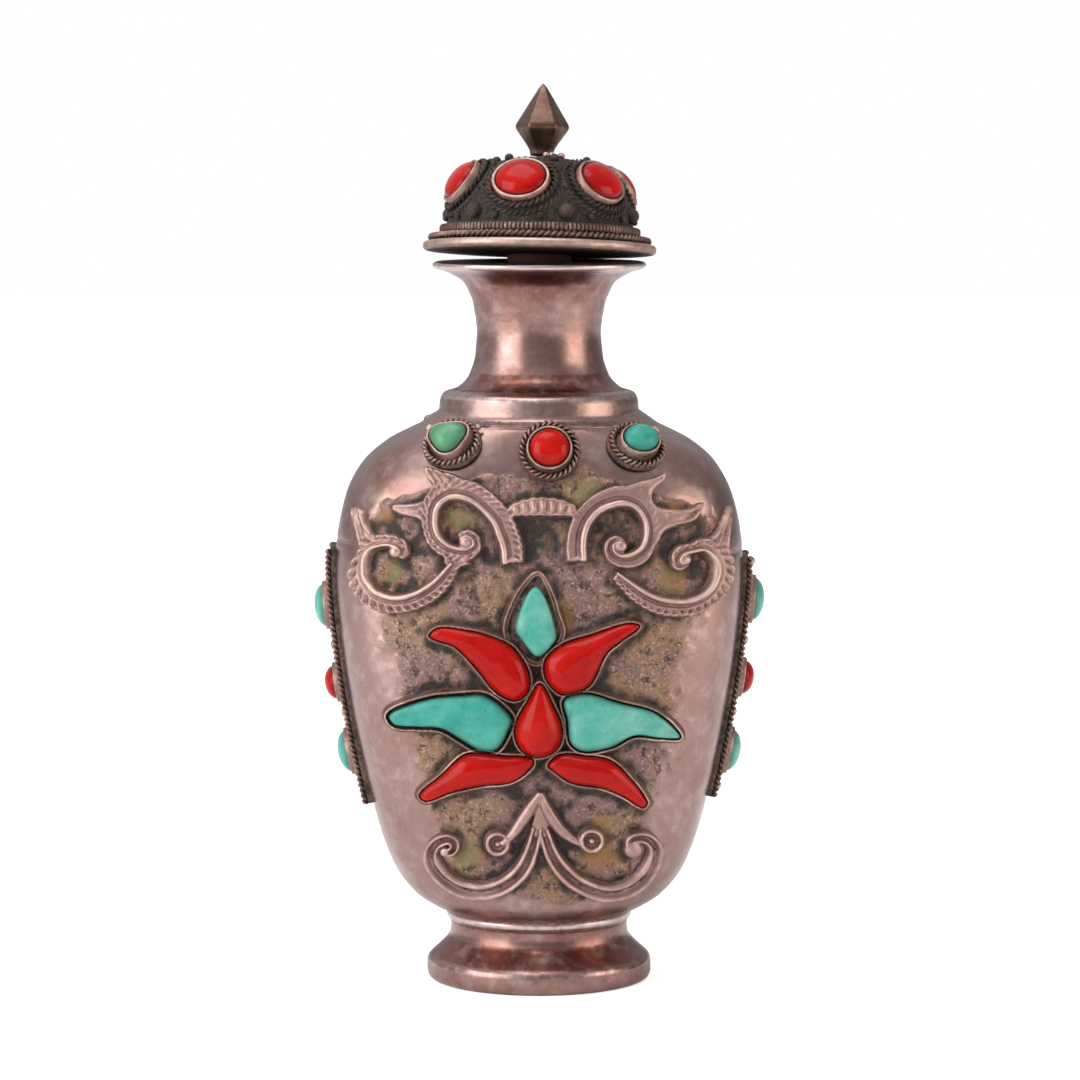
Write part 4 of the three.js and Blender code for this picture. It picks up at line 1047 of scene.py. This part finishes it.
def from_spot(points, spot):
    return spot[0] + points @ spot[1]


def round_grid(rows, spot, oval=1.0, shape=None, columns=48, values=None):
    """A turned grid of radius and height rows at a spot. shape scales the radius by bearing."""
    turn = np.arange(columns) * 2 * math.pi / columns
    grow = shape(turn) if shape else np.ones(columns)
    rows = np.array(rows, float)
    radius = rows[:, :1] * grow
    points = np.stack([radius * np.cos(turn), radius * np.sin(turn) * oval,
                       rows[:, 1:2] + 0 * radius], -1)
    laid_round = {key: np.array(given, float)[:, None] * np.ones(columns)
                  for key, given in (values or {}).items()}
    return from_spot(points, spot), False, True, laid_round


def granule_grid(spot, radius):
    bend = np.linspace(-0.45, 0.5, 11) * math.pi
    rows = [(max(radius * math.cos(b), 0.01), radius * math.sin(b)) for b in bend]
    grid = round_grid(rows, spot, columns=20)
    return grid[:3] + ({"rise": np.clip((bend / math.pi)[:, None] * 2 + 0.4, 0, 1) * np.ones(20)},)


def twisted_wire(line, up, radius, pitch, closed):
    """Two strands wound round each other along a line. up points away from what the wire lies on."""
    line, up = np.asarray(line, float), np.asarray(up, float)
    if closed:
        along = np.roll(line, -1, 0) - np.roll(line, 1, 0)
    else:
        along = np.gradient(line, axis=0)
    along /= np.linalg.norm(along, axis=1, keepdims=True)
    side = np.cross(along, up)
    side /= np.linalg.norm(side, axis=1, keepdims=True)
    lift = np.cross(side, along)
    steps = np.linalg.norm(np.diff(line, axis=0), axis=1)
    run = np.concatenate([[0], np.cumsum(steps)])
    length = run[-1] + (np.linalg.norm(line[0] - line[-1]) if closed else 0)
    turns = max(1, round(length / (2 * pitch)))
    strands = []
    ring = np.arange(8) * math.pi / 4
    for strand in (0, math.pi):
        phase = run / length * turns * 2 * math.pi + strand
        core = line + (side * np.cos(phase)[:, None] + lift * np.sin(phase)[:, None]) * radius * 0.5
        tube = (side[:, None] * np.cos(ring)[None, :, None] + lift[:, None] * np.sin(ring)[None, :, None])
        height = np.sin(phase)[:, None] * 0.5 + np.sin(ring)[None] * 0.5
        strands.append((core[:, None] + tube * radius * 0.56, closed, True, {
            "rise": np.clip(height * 0.9 - 0.1, 0, 1), "soil": np.clip(0.4 - height * 1.1, 0, 1),
            "tarnish": 0.5}))
    return strands


def wire_ring(spot, radius, oval, height, half_thickness, pitch):
    """A closed ring of twisted wire round a spot. pitch runs from one strand to the next."""
    count = int(2 * math.pi * radius / (pitch / 4))
    turn = np.arange(count) * 2 * math.pi / count
    line = np.stack([radius * np.cos(turn), radius * np.sin(turn) * oval, height + 0 * turn], -1)
    up = np.tile((0, 0, 1.0), (count, 1)) @ spot[1]
    return twisted_wire(from_spot(line, spot), up, half_thickness, pitch, True)


def bezel(spot, stone, oval, shape, low, floor, rim, wall=0.32):
    """A plain band round a stone, with a dark gap inside it."""
    rows = [(stone - 0.5, floor), (stone + 0.08, floor), (stone + 0.08, rim - 0.06), (stone + 0.14, rim),
            (stone + wall - 0.06, rim), (stone + wall, rim - 0.07), (stone + wall + 0.02, (low + rim) / 2),
            (stone + wall + 0.14, low + 0.1), (stone + wall + 0.3, low)]
    return round_grid(rows, spot, oval, shape, 56, {
        "soil": [1, 1, 0.8, 0.1, 0, 0.1, 0.4, 0.8, 0.9], "rise": [0, 0, 0.2, 0.6, 0.8, 0.6, 0.1, 0, 0]})


def cabochon(spot, stone, oval, shape, floor, edge, crown, fullness=2.2):
    share = np.concatenate([[1.0, 1.0], np.sin(np.linspace(math.pi / 2 - 0.1, 0, 16))])
    lift = edge + (crown - edge) * (1 - share ** fullness) ** 0.6
    lift[0], lift[1] = floor, edge - 0.05
    # The edge values darken the stone's rim with painted shade
    return round_grid(np.stack([share * stone, lift], -1), spot, oval, shape, 56, {"edge": share ** 7})


def rounded_corners(count, depth, first):
    """A round outline drawn out to a number of soft corners, the first one at a bearing in degrees."""
    def shape(turn):
        return 1 + depth * np.cos(count * (turn - math.radians(first)))
    return shape


# Place as x and z, radius of the stone, its height to its width, its kind and its outline
SHOULDER = {
    "left": (-8.4, 54.3, 1.85, 0.9, "green_turquoise", rounded_corners(3, 0.1, -80)),
    "centre": (1.0, 53.8, 1.9, 0.98, "coral", None),
    "right": (9.4, 54.1, 1.75, 0.9, "turquoise", rounded_corners(2, 0.05, 20)),
}
# Place of each granule beside its stone, and its radius
SHOULDER_GRANULES = {"left": [(-2.6, 1.6, 0.42), (2.4, 1.9, 0.3)], "centre": [], "right": [(2.3, 1.5, 0.5)]}
for name, (x, z, stone, oval, kind, shape) in SHOULDER.items():
    spot = front_spot(x, z, SOLDER)
    plate = round_grid([(2.3, 0.34), (2.75, 0.3), (3.0, 0.15), (3.02, -0.3)], spot, oval, None, 48,
                       {"soil": [0.9, 0.8, 0.6, 0.9]})
    grids = [bezel(spot, stone, oval, shape, 0.25, 0.62, 1.55), plate]
    grids += wire_ring(spot, 2.68, oval, 0.42, 0.36, 0.55)
    for across, up, radius in SHOULDER_GRANULES[name]:
        grids.append(granule_grid((from_spot(np.array([across, up, 0.4]), spot), spot[1]), radius))
    gem = cabochon(spot, stone, oval, shape, 0.7, 1.45, 2.5, 2.6)
    finished(mesh_piece("shoulder_setting_" + name, grids, setting_metal),
             "front_shoulder_setting_" + name)
    finish = deep_turquoise if name == "right" else STONE_FINISH[kind]
    finished(mesh_piece("shoulder_stone_" + name, [gem], finish),
             "front_shoulder_stone_" + name)
    finished(mesh_piece("back_shoulder_setting_" + name, turned_to_back(grids), setting_metal),
             "back_shoulder_setting_" + name)
    finished(mesh_piece("back_shoulder_stone_" + name, turned_to_back([gem]), finish),
             "back_shoulder_stone_" + name)

# Back setting
# The back, which the front view doesn't show, carries one large oval coral in an alloy bezel, with a
# ring of twisted wire soldered round it on a thin plate.
BACK_STONE = 4.8
BACK_OVAL = 0.78
spot = front_spot(0, 30, SOLDER)
grids = [bezel(spot, BACK_STONE, BACK_OVAL, None, 0.25, 0.6, 1.5, 0.35),
         round_grid([(5.1, 0.34), (5.8, 0.3), (6.2, 0.15), (6.22, -0.3)], spot, BACK_OVAL, None, 64,
                    {"soil": [0.9, 0.8, 0.6, 0.9]})]
grids += wire_ring(spot, 5.8, BACK_OVAL, 0.45, 0.4, 0.6)
finished(mesh_piece("back_coral_setting", turned_to_back(grids), setting_metal), "back_setting")
gem = cabochon(spot, BACK_STONE, BACK_OVAL, None, 0.7, 1.4, 2.4)
finished(mesh_piece("back_coral", turned_to_back([gem]), polished_coral), "back_stone")

# Side plaques
# A strip of sheet alloy soldered over each narrow side, with twisted wire along both edges, three stones
# in bezels ringed with wire, and granules between them.


def over_side(y, z, height):
    """Points over the right side of the body at a height off the wall, and the wall's normals there."""
    y, z, height = np.broadcast_arrays(*[np.asarray(given, float) for given in (y, z, height)])

    def side_reach(v, w):
        n = squareness(w)
        across = np.abs(v) / table_curve(BODY_STATIONS, w, 2)
        return table_curve(BODY_STATIONS, w) * (1 - across ** n) ** (1 / n)

    step = 0.02
    slope_y = (side_reach(y + step, z) - side_reach(y - step, z)) / (2 * step)
    slope_z = (side_reach(y, z + step) - side_reach(y, z - step)) / (2 * step)
    normal = np.stack([np.ones_like(y), -slope_y, -slope_z], -1)
    normal /= np.linalg.norm(normal, axis=-1, keepdims=True)
    return np.stack([side_reach(y, z), y, z], -1) + normal * height[..., None], normal


# The strip's section as y and height off the wall, and how far out its edge wires lie
STRIP = [(-4.0, -0.1), (-4.0, 0.3), (-3.95, 0.42), (-3.2, 0.5), (-1.5, 0.56), (0, 0.6), (1.5, 0.56),
         (3.2, 0.5), (3.95, 0.42), (4.0, 0.3), (4.0, -0.1)]
EDGE_WIRE = 3.62
GEM_OVAL = 0.95


def side_plaque(label, ends, gems, granules, turn):
    """A whole strip. turn is 1 for the right side, and -1 turns it half round to the left."""
    spin = np.array([turn, turn, 1.0])
    rows = np.linspace(ends[0], ends[1], 90)[:, None]
    section = np.array(STRIP)
    lift = section[None, :, 1] + value_noise(np.stack(np.broadcast_arrays(
        section[None, :, 0], rows, 0 * rows), -1), 1.0, 21) * 0.05 * (np.abs(section[:, 0]) < 3.9)
    strip, _ = over_side(section[None, :, 0], rows, lift)
    grids = [(strip, False, False, {"soil": 0.75})]
    for end in ends:
        cap, _ = over_side(section[None, :, 0], np.array([[end], [end]]),
                           np.stack([lift[0], lift[0] * 0 - 0.1]))
        grids.append((cap, False, False, {"soil": 0.8}))
    for side in (-EDGE_WIRE, EDGE_WIRE):
        at = np.linspace(ends[0], ends[1], 180)
        line, up = over_side(side, at, 0.66)
        grids += twisted_wire(line, up, 0.38, 0.55, False)
    for name, z, stone, kind in gems:
        at, normal = over_side(0.0, z, 0.0)
        spot = spot_at(at, normal)
        grids.append(bezel(spot, stone, GEM_OVAL, None, 0.5, 0.75, 1.45))
        grids += wire_ring(spot, stone + 0.62, GEM_OVAL, 0.72, 0.3, 0.5)
        gem = cabochon(spot, stone, GEM_OVAL, None, 0.8, 1.4, 2.45)
        gem = (gem[0] * spin,) + gem[1:]
        finished(mesh_piece("side_gem_%s_%s" % (label, name), [gem], STONE_FINISH[kind]),
                 "side_stone_%s_%s" % (label, name))
    for z in granules:
        at, normal = over_side(0.0, z, 0.85)
        grids.append(granule_grid(spot_at(at, normal), 0.5))
        for side in (-1.0, 1.0):
            at, normal = over_side(side, z, 0.7)
            grids.append(granule_grid(spot_at(at, normal), 0.35))
    grids = [(grid[0] * spin,) + tuple(grid[1:]) for grid in grids]
    finished(mesh_piece("side_strip_" + label, grids, setting_metal), "side_plaque_" + label)


side_plaque("right", (18.9, 42.7), [("top", 38.3, 2.25, "turquoise"), ("middle", 30.5, 1.8, "coral"),
                                    ("bottom", 23.2, 2.2, "turquoise")], [42.0, 34.2, 27.0, 19.6], 1.0)
side_plaque("left", (18.2, 43.5), [("top", 37.7, 2.25, "turquoise"), ("middle", 30.0, 1.8, "coral"),
                                   ("bottom", 23.1, 2.2, "turquoise")], [33.7, 26.9], -1.0)

# Lid
# A domed cap of sheet alloy, black with age between its six bezels, over a ribbed ring, a row of twisted
# wire and a polished brim, all soldered together. It leans a little on its cork.
LID_PLACE = np.array([0.05, 0.0, 72.75])
LID_LEAN = (math.radians(-4.3), math.radians(1.3))


def lid_pose(points):
    lean, roll = LID_LEAN
    about_y = np.array([
        [math.cos(roll), 0, math.sin(roll)], [0, 1, 0], [-math.sin(roll), 0, math.cos(roll)]])
    about_x = np.array([
        [1, 0, 0], [0, math.cos(lean), -math.sin(lean)], [0, math.sin(lean), math.cos(lean)]])
    return points @ (about_x @ about_y).T + LID_PLACE


def posed(grids):
    return [(lid_pose(grid),) + tuple(rest) for grid, *rest in grids]


UPRIGHT = (np.zeros(3), np.eye(3))
BRIM = [(0.3, 0.0), (6.0, 0.0), (10.9, 0.0), (11.3, 0.03), (11.52, 0.16), (11.6, 0.4), (11.58, 0.66),
        (11.45, 0.85), (11.2, 0.93), (10.6, 0.98), (10.0, 1.0)]
DOME = [(10.6, 0.95), (10.55, 1.5), (10.1, 1.62), (9.6, 1.7), (9.6, 2.5), (9.2, 2.62), (9.1, 4.4),
        (8.5, 5.9), (7.5, 7.3), (5.6, 8.6), (3.0, 9.3), (0.3, 9.5)]
dome_line = round_line(DOME, 0.3)
# The brim's flat underside is painted dark, as painted shade under the lid
lid_grids = [
    round_grid(BRIM, UPRIGHT, columns=160, values={
        "soil": [1, 1, 0.9, 0.6, 0.1, 0, 0, 0, 0, 0.1, 0.8],
        "rise": [0, 0, 0, 0, 0.4, 0.8, 0.9, 0.9, 0.8, 0.5, 0],
        "tarnish": 0.1 * np.ones(len(BRIM))}),
    round_grid(dome_line, UPRIGHT, columns=160, values={"soil": 1.0 * np.ones(len(dome_line))}),
]

# The ribbed ring: radius, height and how far the ribs stand out there
RIBS = 146
RIB_DEPTH = 0.12
ring_rows = [(9.6, 1.66, 0), (9.85, 1.68, 0.4), (9.98, 1.82, 1), (10.0, 2.1, 1), (9.98, 2.4, 1),
             (9.85, 2.55, 0.4), (9.55, 2.6, 0)]
columns = RIBS * 6
turn = np.arange(columns) * 2 * math.pi / columns
wave = np.sqrt(np.abs(np.sin(turn * RIBS / 2)))
radius = np.array([[row[0] + row[2] * RIB_DEPTH * (w - 1) for w in wave] for row in ring_rows])
height = np.array([[row[1]] for row in ring_rows]) + 0 * radius
lid_grids.append((np.stack([radius * np.cos(turn), radius * np.sin(turn), height], -1), False, True, {
    "rise": np.array([[row[2]] for row in ring_rows]) * wave * 0.6, "tarnish": 0.9,
    "soil": np.array([[1 - row[2]] for row in ring_rows]) * 0.6 + 0.25 + 0.8 * (1 - wave)}))
lid_grids += wire_ring(UPRIGHT, 10.72, 1.0, 1.3, 0.38, 0.62)

# The bezels stand round the dome, counted in degrees from the front
STONE_COUNT = 6
FIRST_STONE = -14
DOME_STONE = 2.5
DOME_OVAL = 0.86
STONE_RING = 7.6
STONE_HEIGHT = 6.4
STONE_LEAN = 35
# Granules beside each bezel: degrees from it, radius and height of their place, lean and size
DOME_GRANULES = [(30, 9.25, 3.7, 0, 0.8), (30, 4.6, 9.1, 60, 0.45), (30, 8.3, 6.2, 30, 0.35),
                 (14, 9.4, 3.2, 0, 0.3), (-14, 9.4, 3.2, 0, 0.3)]
# Bearings of the three at the foot of the finial
CROWN_GRANULES = (10, 22, 48)


def dome_spot(bearing, radius, height, lean):
    angle, tilt = math.radians(bearing), math.radians(lean)
    out = np.array([math.sin(angle), -math.cos(angle), 0])
    normal = out * math.cos(tilt) + np.array([0, 0, math.sin(tilt)])
    return spot_at(out * radius + np.array([0, 0, height]), normal)


def blackened(grids):
    """The same grids with their metal black with age, apart from the rubbed tops."""
    return [grid[:3] + ({"rise": np.asarray(grid[3].get("rise", 0.0)) * 0.5,
                         "soil": np.clip(np.asarray(grid[3].get("soil", 0.0)) * 0.6 + 0.75, 0, 1),
                         "tarnish": 0.8},) for grid in grids]


for i in range(STONE_COUNT):
    bearing = FIRST_STONE + i * 360 / STONE_COUNT
    spot = dome_spot(bearing, STONE_RING, STONE_HEIGHT, STONE_LEAN)
    lid_grids.append(bezel(spot, DOME_STONE, DOME_OVAL, None, -0.6, 0.35, 0.95, 0.4))
    lid_grids += blackened(wire_ring(spot, 3.3, DOME_OVAL, 0.1, 0.34, 0.6))
    lid_grids += blackened(wire_ring(spot, 3.95, 0.84, -0.55, 0.34, 0.6))
    lid_grids += blackened([granule_grid(dome_spot(bearing + beside, out, up, lean), size)
                            for beside, out, up, lean, size in DOME_GRANULES])
    gem = cabochon(spot, DOME_STONE, DOME_OVAL, None, 0.4, 0.85, 1.85)
    finished(mesh_piece("dome_coral_%d" % (i + 1), posed([gem]), polished_coral),
             "lid_coral_%d" % (i + 1))
for bearing in CROWN_GRANULES:
    lid_grids.append(granule_grid(dome_spot(bearing, 2.6, 9.5, 70), 0.36))
finished(mesh_piece("domed_lid", posed(lid_grids), setting_metal), "lid")

# Finial
# A faceted knob of two cones on a short collar, cast in bronze and filed flat, and soldered to the top
# of the dome.
FINIAL = [(0.05, 9.55), (1.3, 9.6), (1.2, 9.85), (1.15, 10.0), (1.6, 10.75), (2.2, 11.55), (2.75, 12.3),
          (2.85, 12.5), (2.7, 12.75), (2.0, 13.85), (1.2, 15.15), (0.5, 16.25), (0.28, 16.6), (0.02, 16.8)]


def facets(count, soften):
    """A round outline drawn out to flat sides. soften rounds their corners."""
    def shape(turn):
        part = np.mod(turn, 2 * math.pi / count) - math.pi / count
        return 1 / (np.cos(part) ** (1 - soften)) * math.cos(math.pi / count)
    return shape


finial_grid = round_grid(round_line(FINIAL, 0.25), UPRIGHT, 1.0, facets(6, 0.25), 128)
# Bronze gone dark, smooth from the file, which gives each facet one even brown tone
finial_metal = aged_metal("dark_bronze_finial", "#a98e7f", "#6c5348", "#4a372e", "#1a1512", 0.3)
finial_grid = finial_grid[:3] + ({"tarnish": 0.3},)
finished(mesh_piece("faceted_finial", posed([finial_grid]), finial_metal), "finial")

# Cork
# A tapered stopper cut from cork and glued under the lid. It grips the mouth and so holds the lid.
# Old cork is dark and quite matt, with a grain that breaks up the light.
CORK_GRAIN = 0.8
cork_material = bpy.data.materials.new("dark_cork")
cork_material.use_nodes = True
cork_tree = cork_material.node_tree
cork_tree.nodes.clear()
cork_place = add_node(cork_tree, "ShaderNodeTexCoord").outputs["Object"]
cork_grain = add_node(cork_tree, "ShaderNodeTexNoise", Vector=cork_place, Scale=1000 / CORK_GRAIN,
                      Detail=5.0, Roughness=0.7).outputs["Fac"]
cork_colour = add_node(cork_tree, "ShaderNodeMix", {"data_type": "RGBA"}, _0=cork_grain,
                       _6=linear("#1f140d"), _7=linear("#6b4c34")).outputs[2]
cork_bump = add_node(cork_tree, "ShaderNodeBump", Height=cork_grain, Distance=0.1 * MM, Strength=0.6)
cork_shader = add_node(cork_tree, "ShaderNodeBsdfPrincipled", Base_Color=cork_colour,
                       Normal=cork_bump.outputs[0])
cork_shader.inputs["Roughness"].default_value = 0.8
add_node(cork_tree, "ShaderNodeOutputMaterial", Surface=cork_shader.outputs[0])
CORK = [(0.05, -9.0), (2.7, -9.0), (2.9, -8.8), (3.2, -1.0), (3.25, -0.12), (0.05, -0.12)]
cork_grid = round_grid(round_line(CORK, 0.4), UPRIGHT, columns=48)
finished(mesh_piece("tapered_cork", posed([cork_grid]), cork_material), "cork")

# Dirt and painted shade
# Solder scale, soot and snuff have packed in beside the castings and the stones, and painted shade darkens
# the ground there too, as the castings' shadow. They are black in the deep corners, from dirt and painted
# shade together, with yellow and green stains inside the scrolls.
DIRT_AND_SHADE_REACH = 1.1
FAR = 9.0
# Places as x, z and reach
DIRT_AND_SHADE_POOLS = [
    (0.6, 45.2, 2.6), (-0.9, 46.4, 1.6), (2.0, 44.6, 1.5), (5.3, 43.6, 1.4), (7.0, 41.4, 1.0),
    (7.9, 46.6, 1.7), (12.0, 44.5, 1.5), (15.9, 47.4, 1.6), (15.4, 42.2, 1.6), (-12.0, 44.4, 1.8),
    (-15.8, 46.8, 1.5), (-13.2, 46.4, 1.4), (-4.0, 43.6, 1.3), (-7.6, 41.3, 0.9), (-8.9, 46.2, 0.9),
    (-2.2, 20.6, 1.3), (2.6, 19.3, 1.2), (-5.0, 31.0, 1.2), (3.4, 24.3, 1.0)]
STAINS = [
    (2.3, 38.3, 1.5), (2.5, 37.0, 1.0), (-7.9, 47.2, 1.6), (-14.4, 41.9, 1.3), (12.8, 41.2, 1.6),
    (2.4, 51.4, 1.7), (5.9, 14.2, 1.9), (-7.2, 14.2, 1.9), (4.3, 49.8, 1.6), (-15.2, 47.6, 1.0),
    (13.5, 49.6, 1.6), (6.4, 17.6, 1.3)]

beside = []
for name in ("upper_scrolls", "lower_scrolls", "back_scrolls_upper", "back_scrolls_lower",
             "flower_cells", "shoulder_setting_left", "shoulder_setting_centre",
             "shoulder_setting_right", "back_coral_setting"):
    mesh = bpy.data.objects[name].data
    at = np.empty(len(mesh.vertices) * 3)
    mesh.vertices.foreach_get("co", at)
    beside.append(at.reshape(-1, 3)[::3])
beside = np.concatenate(beside)
raised_parts_tree = mathutils.kdtree.KDTree(len(beside))
for i, at in enumerate(beside):
    raised_parts_tree.insert(at, i)
raised_parts_tree.balance()

mesh = vessel.data
at = np.empty(len(mesh.vertices) * 3)
mesh.vertices.foreach_get("co", at)
at = at.reshape(-1, 3)
covered = np.empty(len(at), np.float32)
mesh.attributes["ground"].data.foreach_get("value", covered)
gap = np.full(len(at), FAR)
for i in np.nonzero(covered > 0.02)[0]:
    gap[i] = raised_parts_tree.find(at[i])[2] / MM
at = at / MM
patchy = (value_noise(at, 1.7, 31) * 0.35 + value_noise(at, 0.8, 32) * 0.35
          + value_noise(at, 0.45, 33) * 0.25)
# Within reach of the raised parts the ground darkens with dirt and painted shade together
near = np.clip(1 - gap / DIRT_AND_SHADE_REACH, 0, 1) ** 0.7 * (0.85 + patchy)
pooled_dirt_and_shade = np.zeros(len(at))
stained = np.zeros(len(at))
front = at[:, 1] < 0
for x, z, reach in DIRT_AND_SHADE_POOLS:
    pooled_dirt_and_shade = np.maximum(pooled_dirt_and_shade, (1.3 - np.hypot(at[:, 0] - x, at[:, 2] - z) / reach) * front)
for x, z, reach in STAINS:
    stained = np.maximum(stained, (1.4 - np.hypot(at[:, 0] - x, at[:, 2] - z) / reach) * front)
soil = np.empty(len(at), np.float32)
mesh.attributes["soil"].data.foreach_get("value", soil)
# The dark added here is dirt and painted shade together
soil += covered * np.clip(np.maximum(near, np.clip(pooled_dirt_and_shade, 0, 1) * (0.85 + patchy * 1.3)), 0, 1)
mesh.attributes["soil"].data.foreach_set("value", soil)
ochre = covered * np.clip(stained + patchy * 0.5, 0, 1)
mesh.attributes["ochre"].data.foreach_set("value", ochre.astype(np.float32))
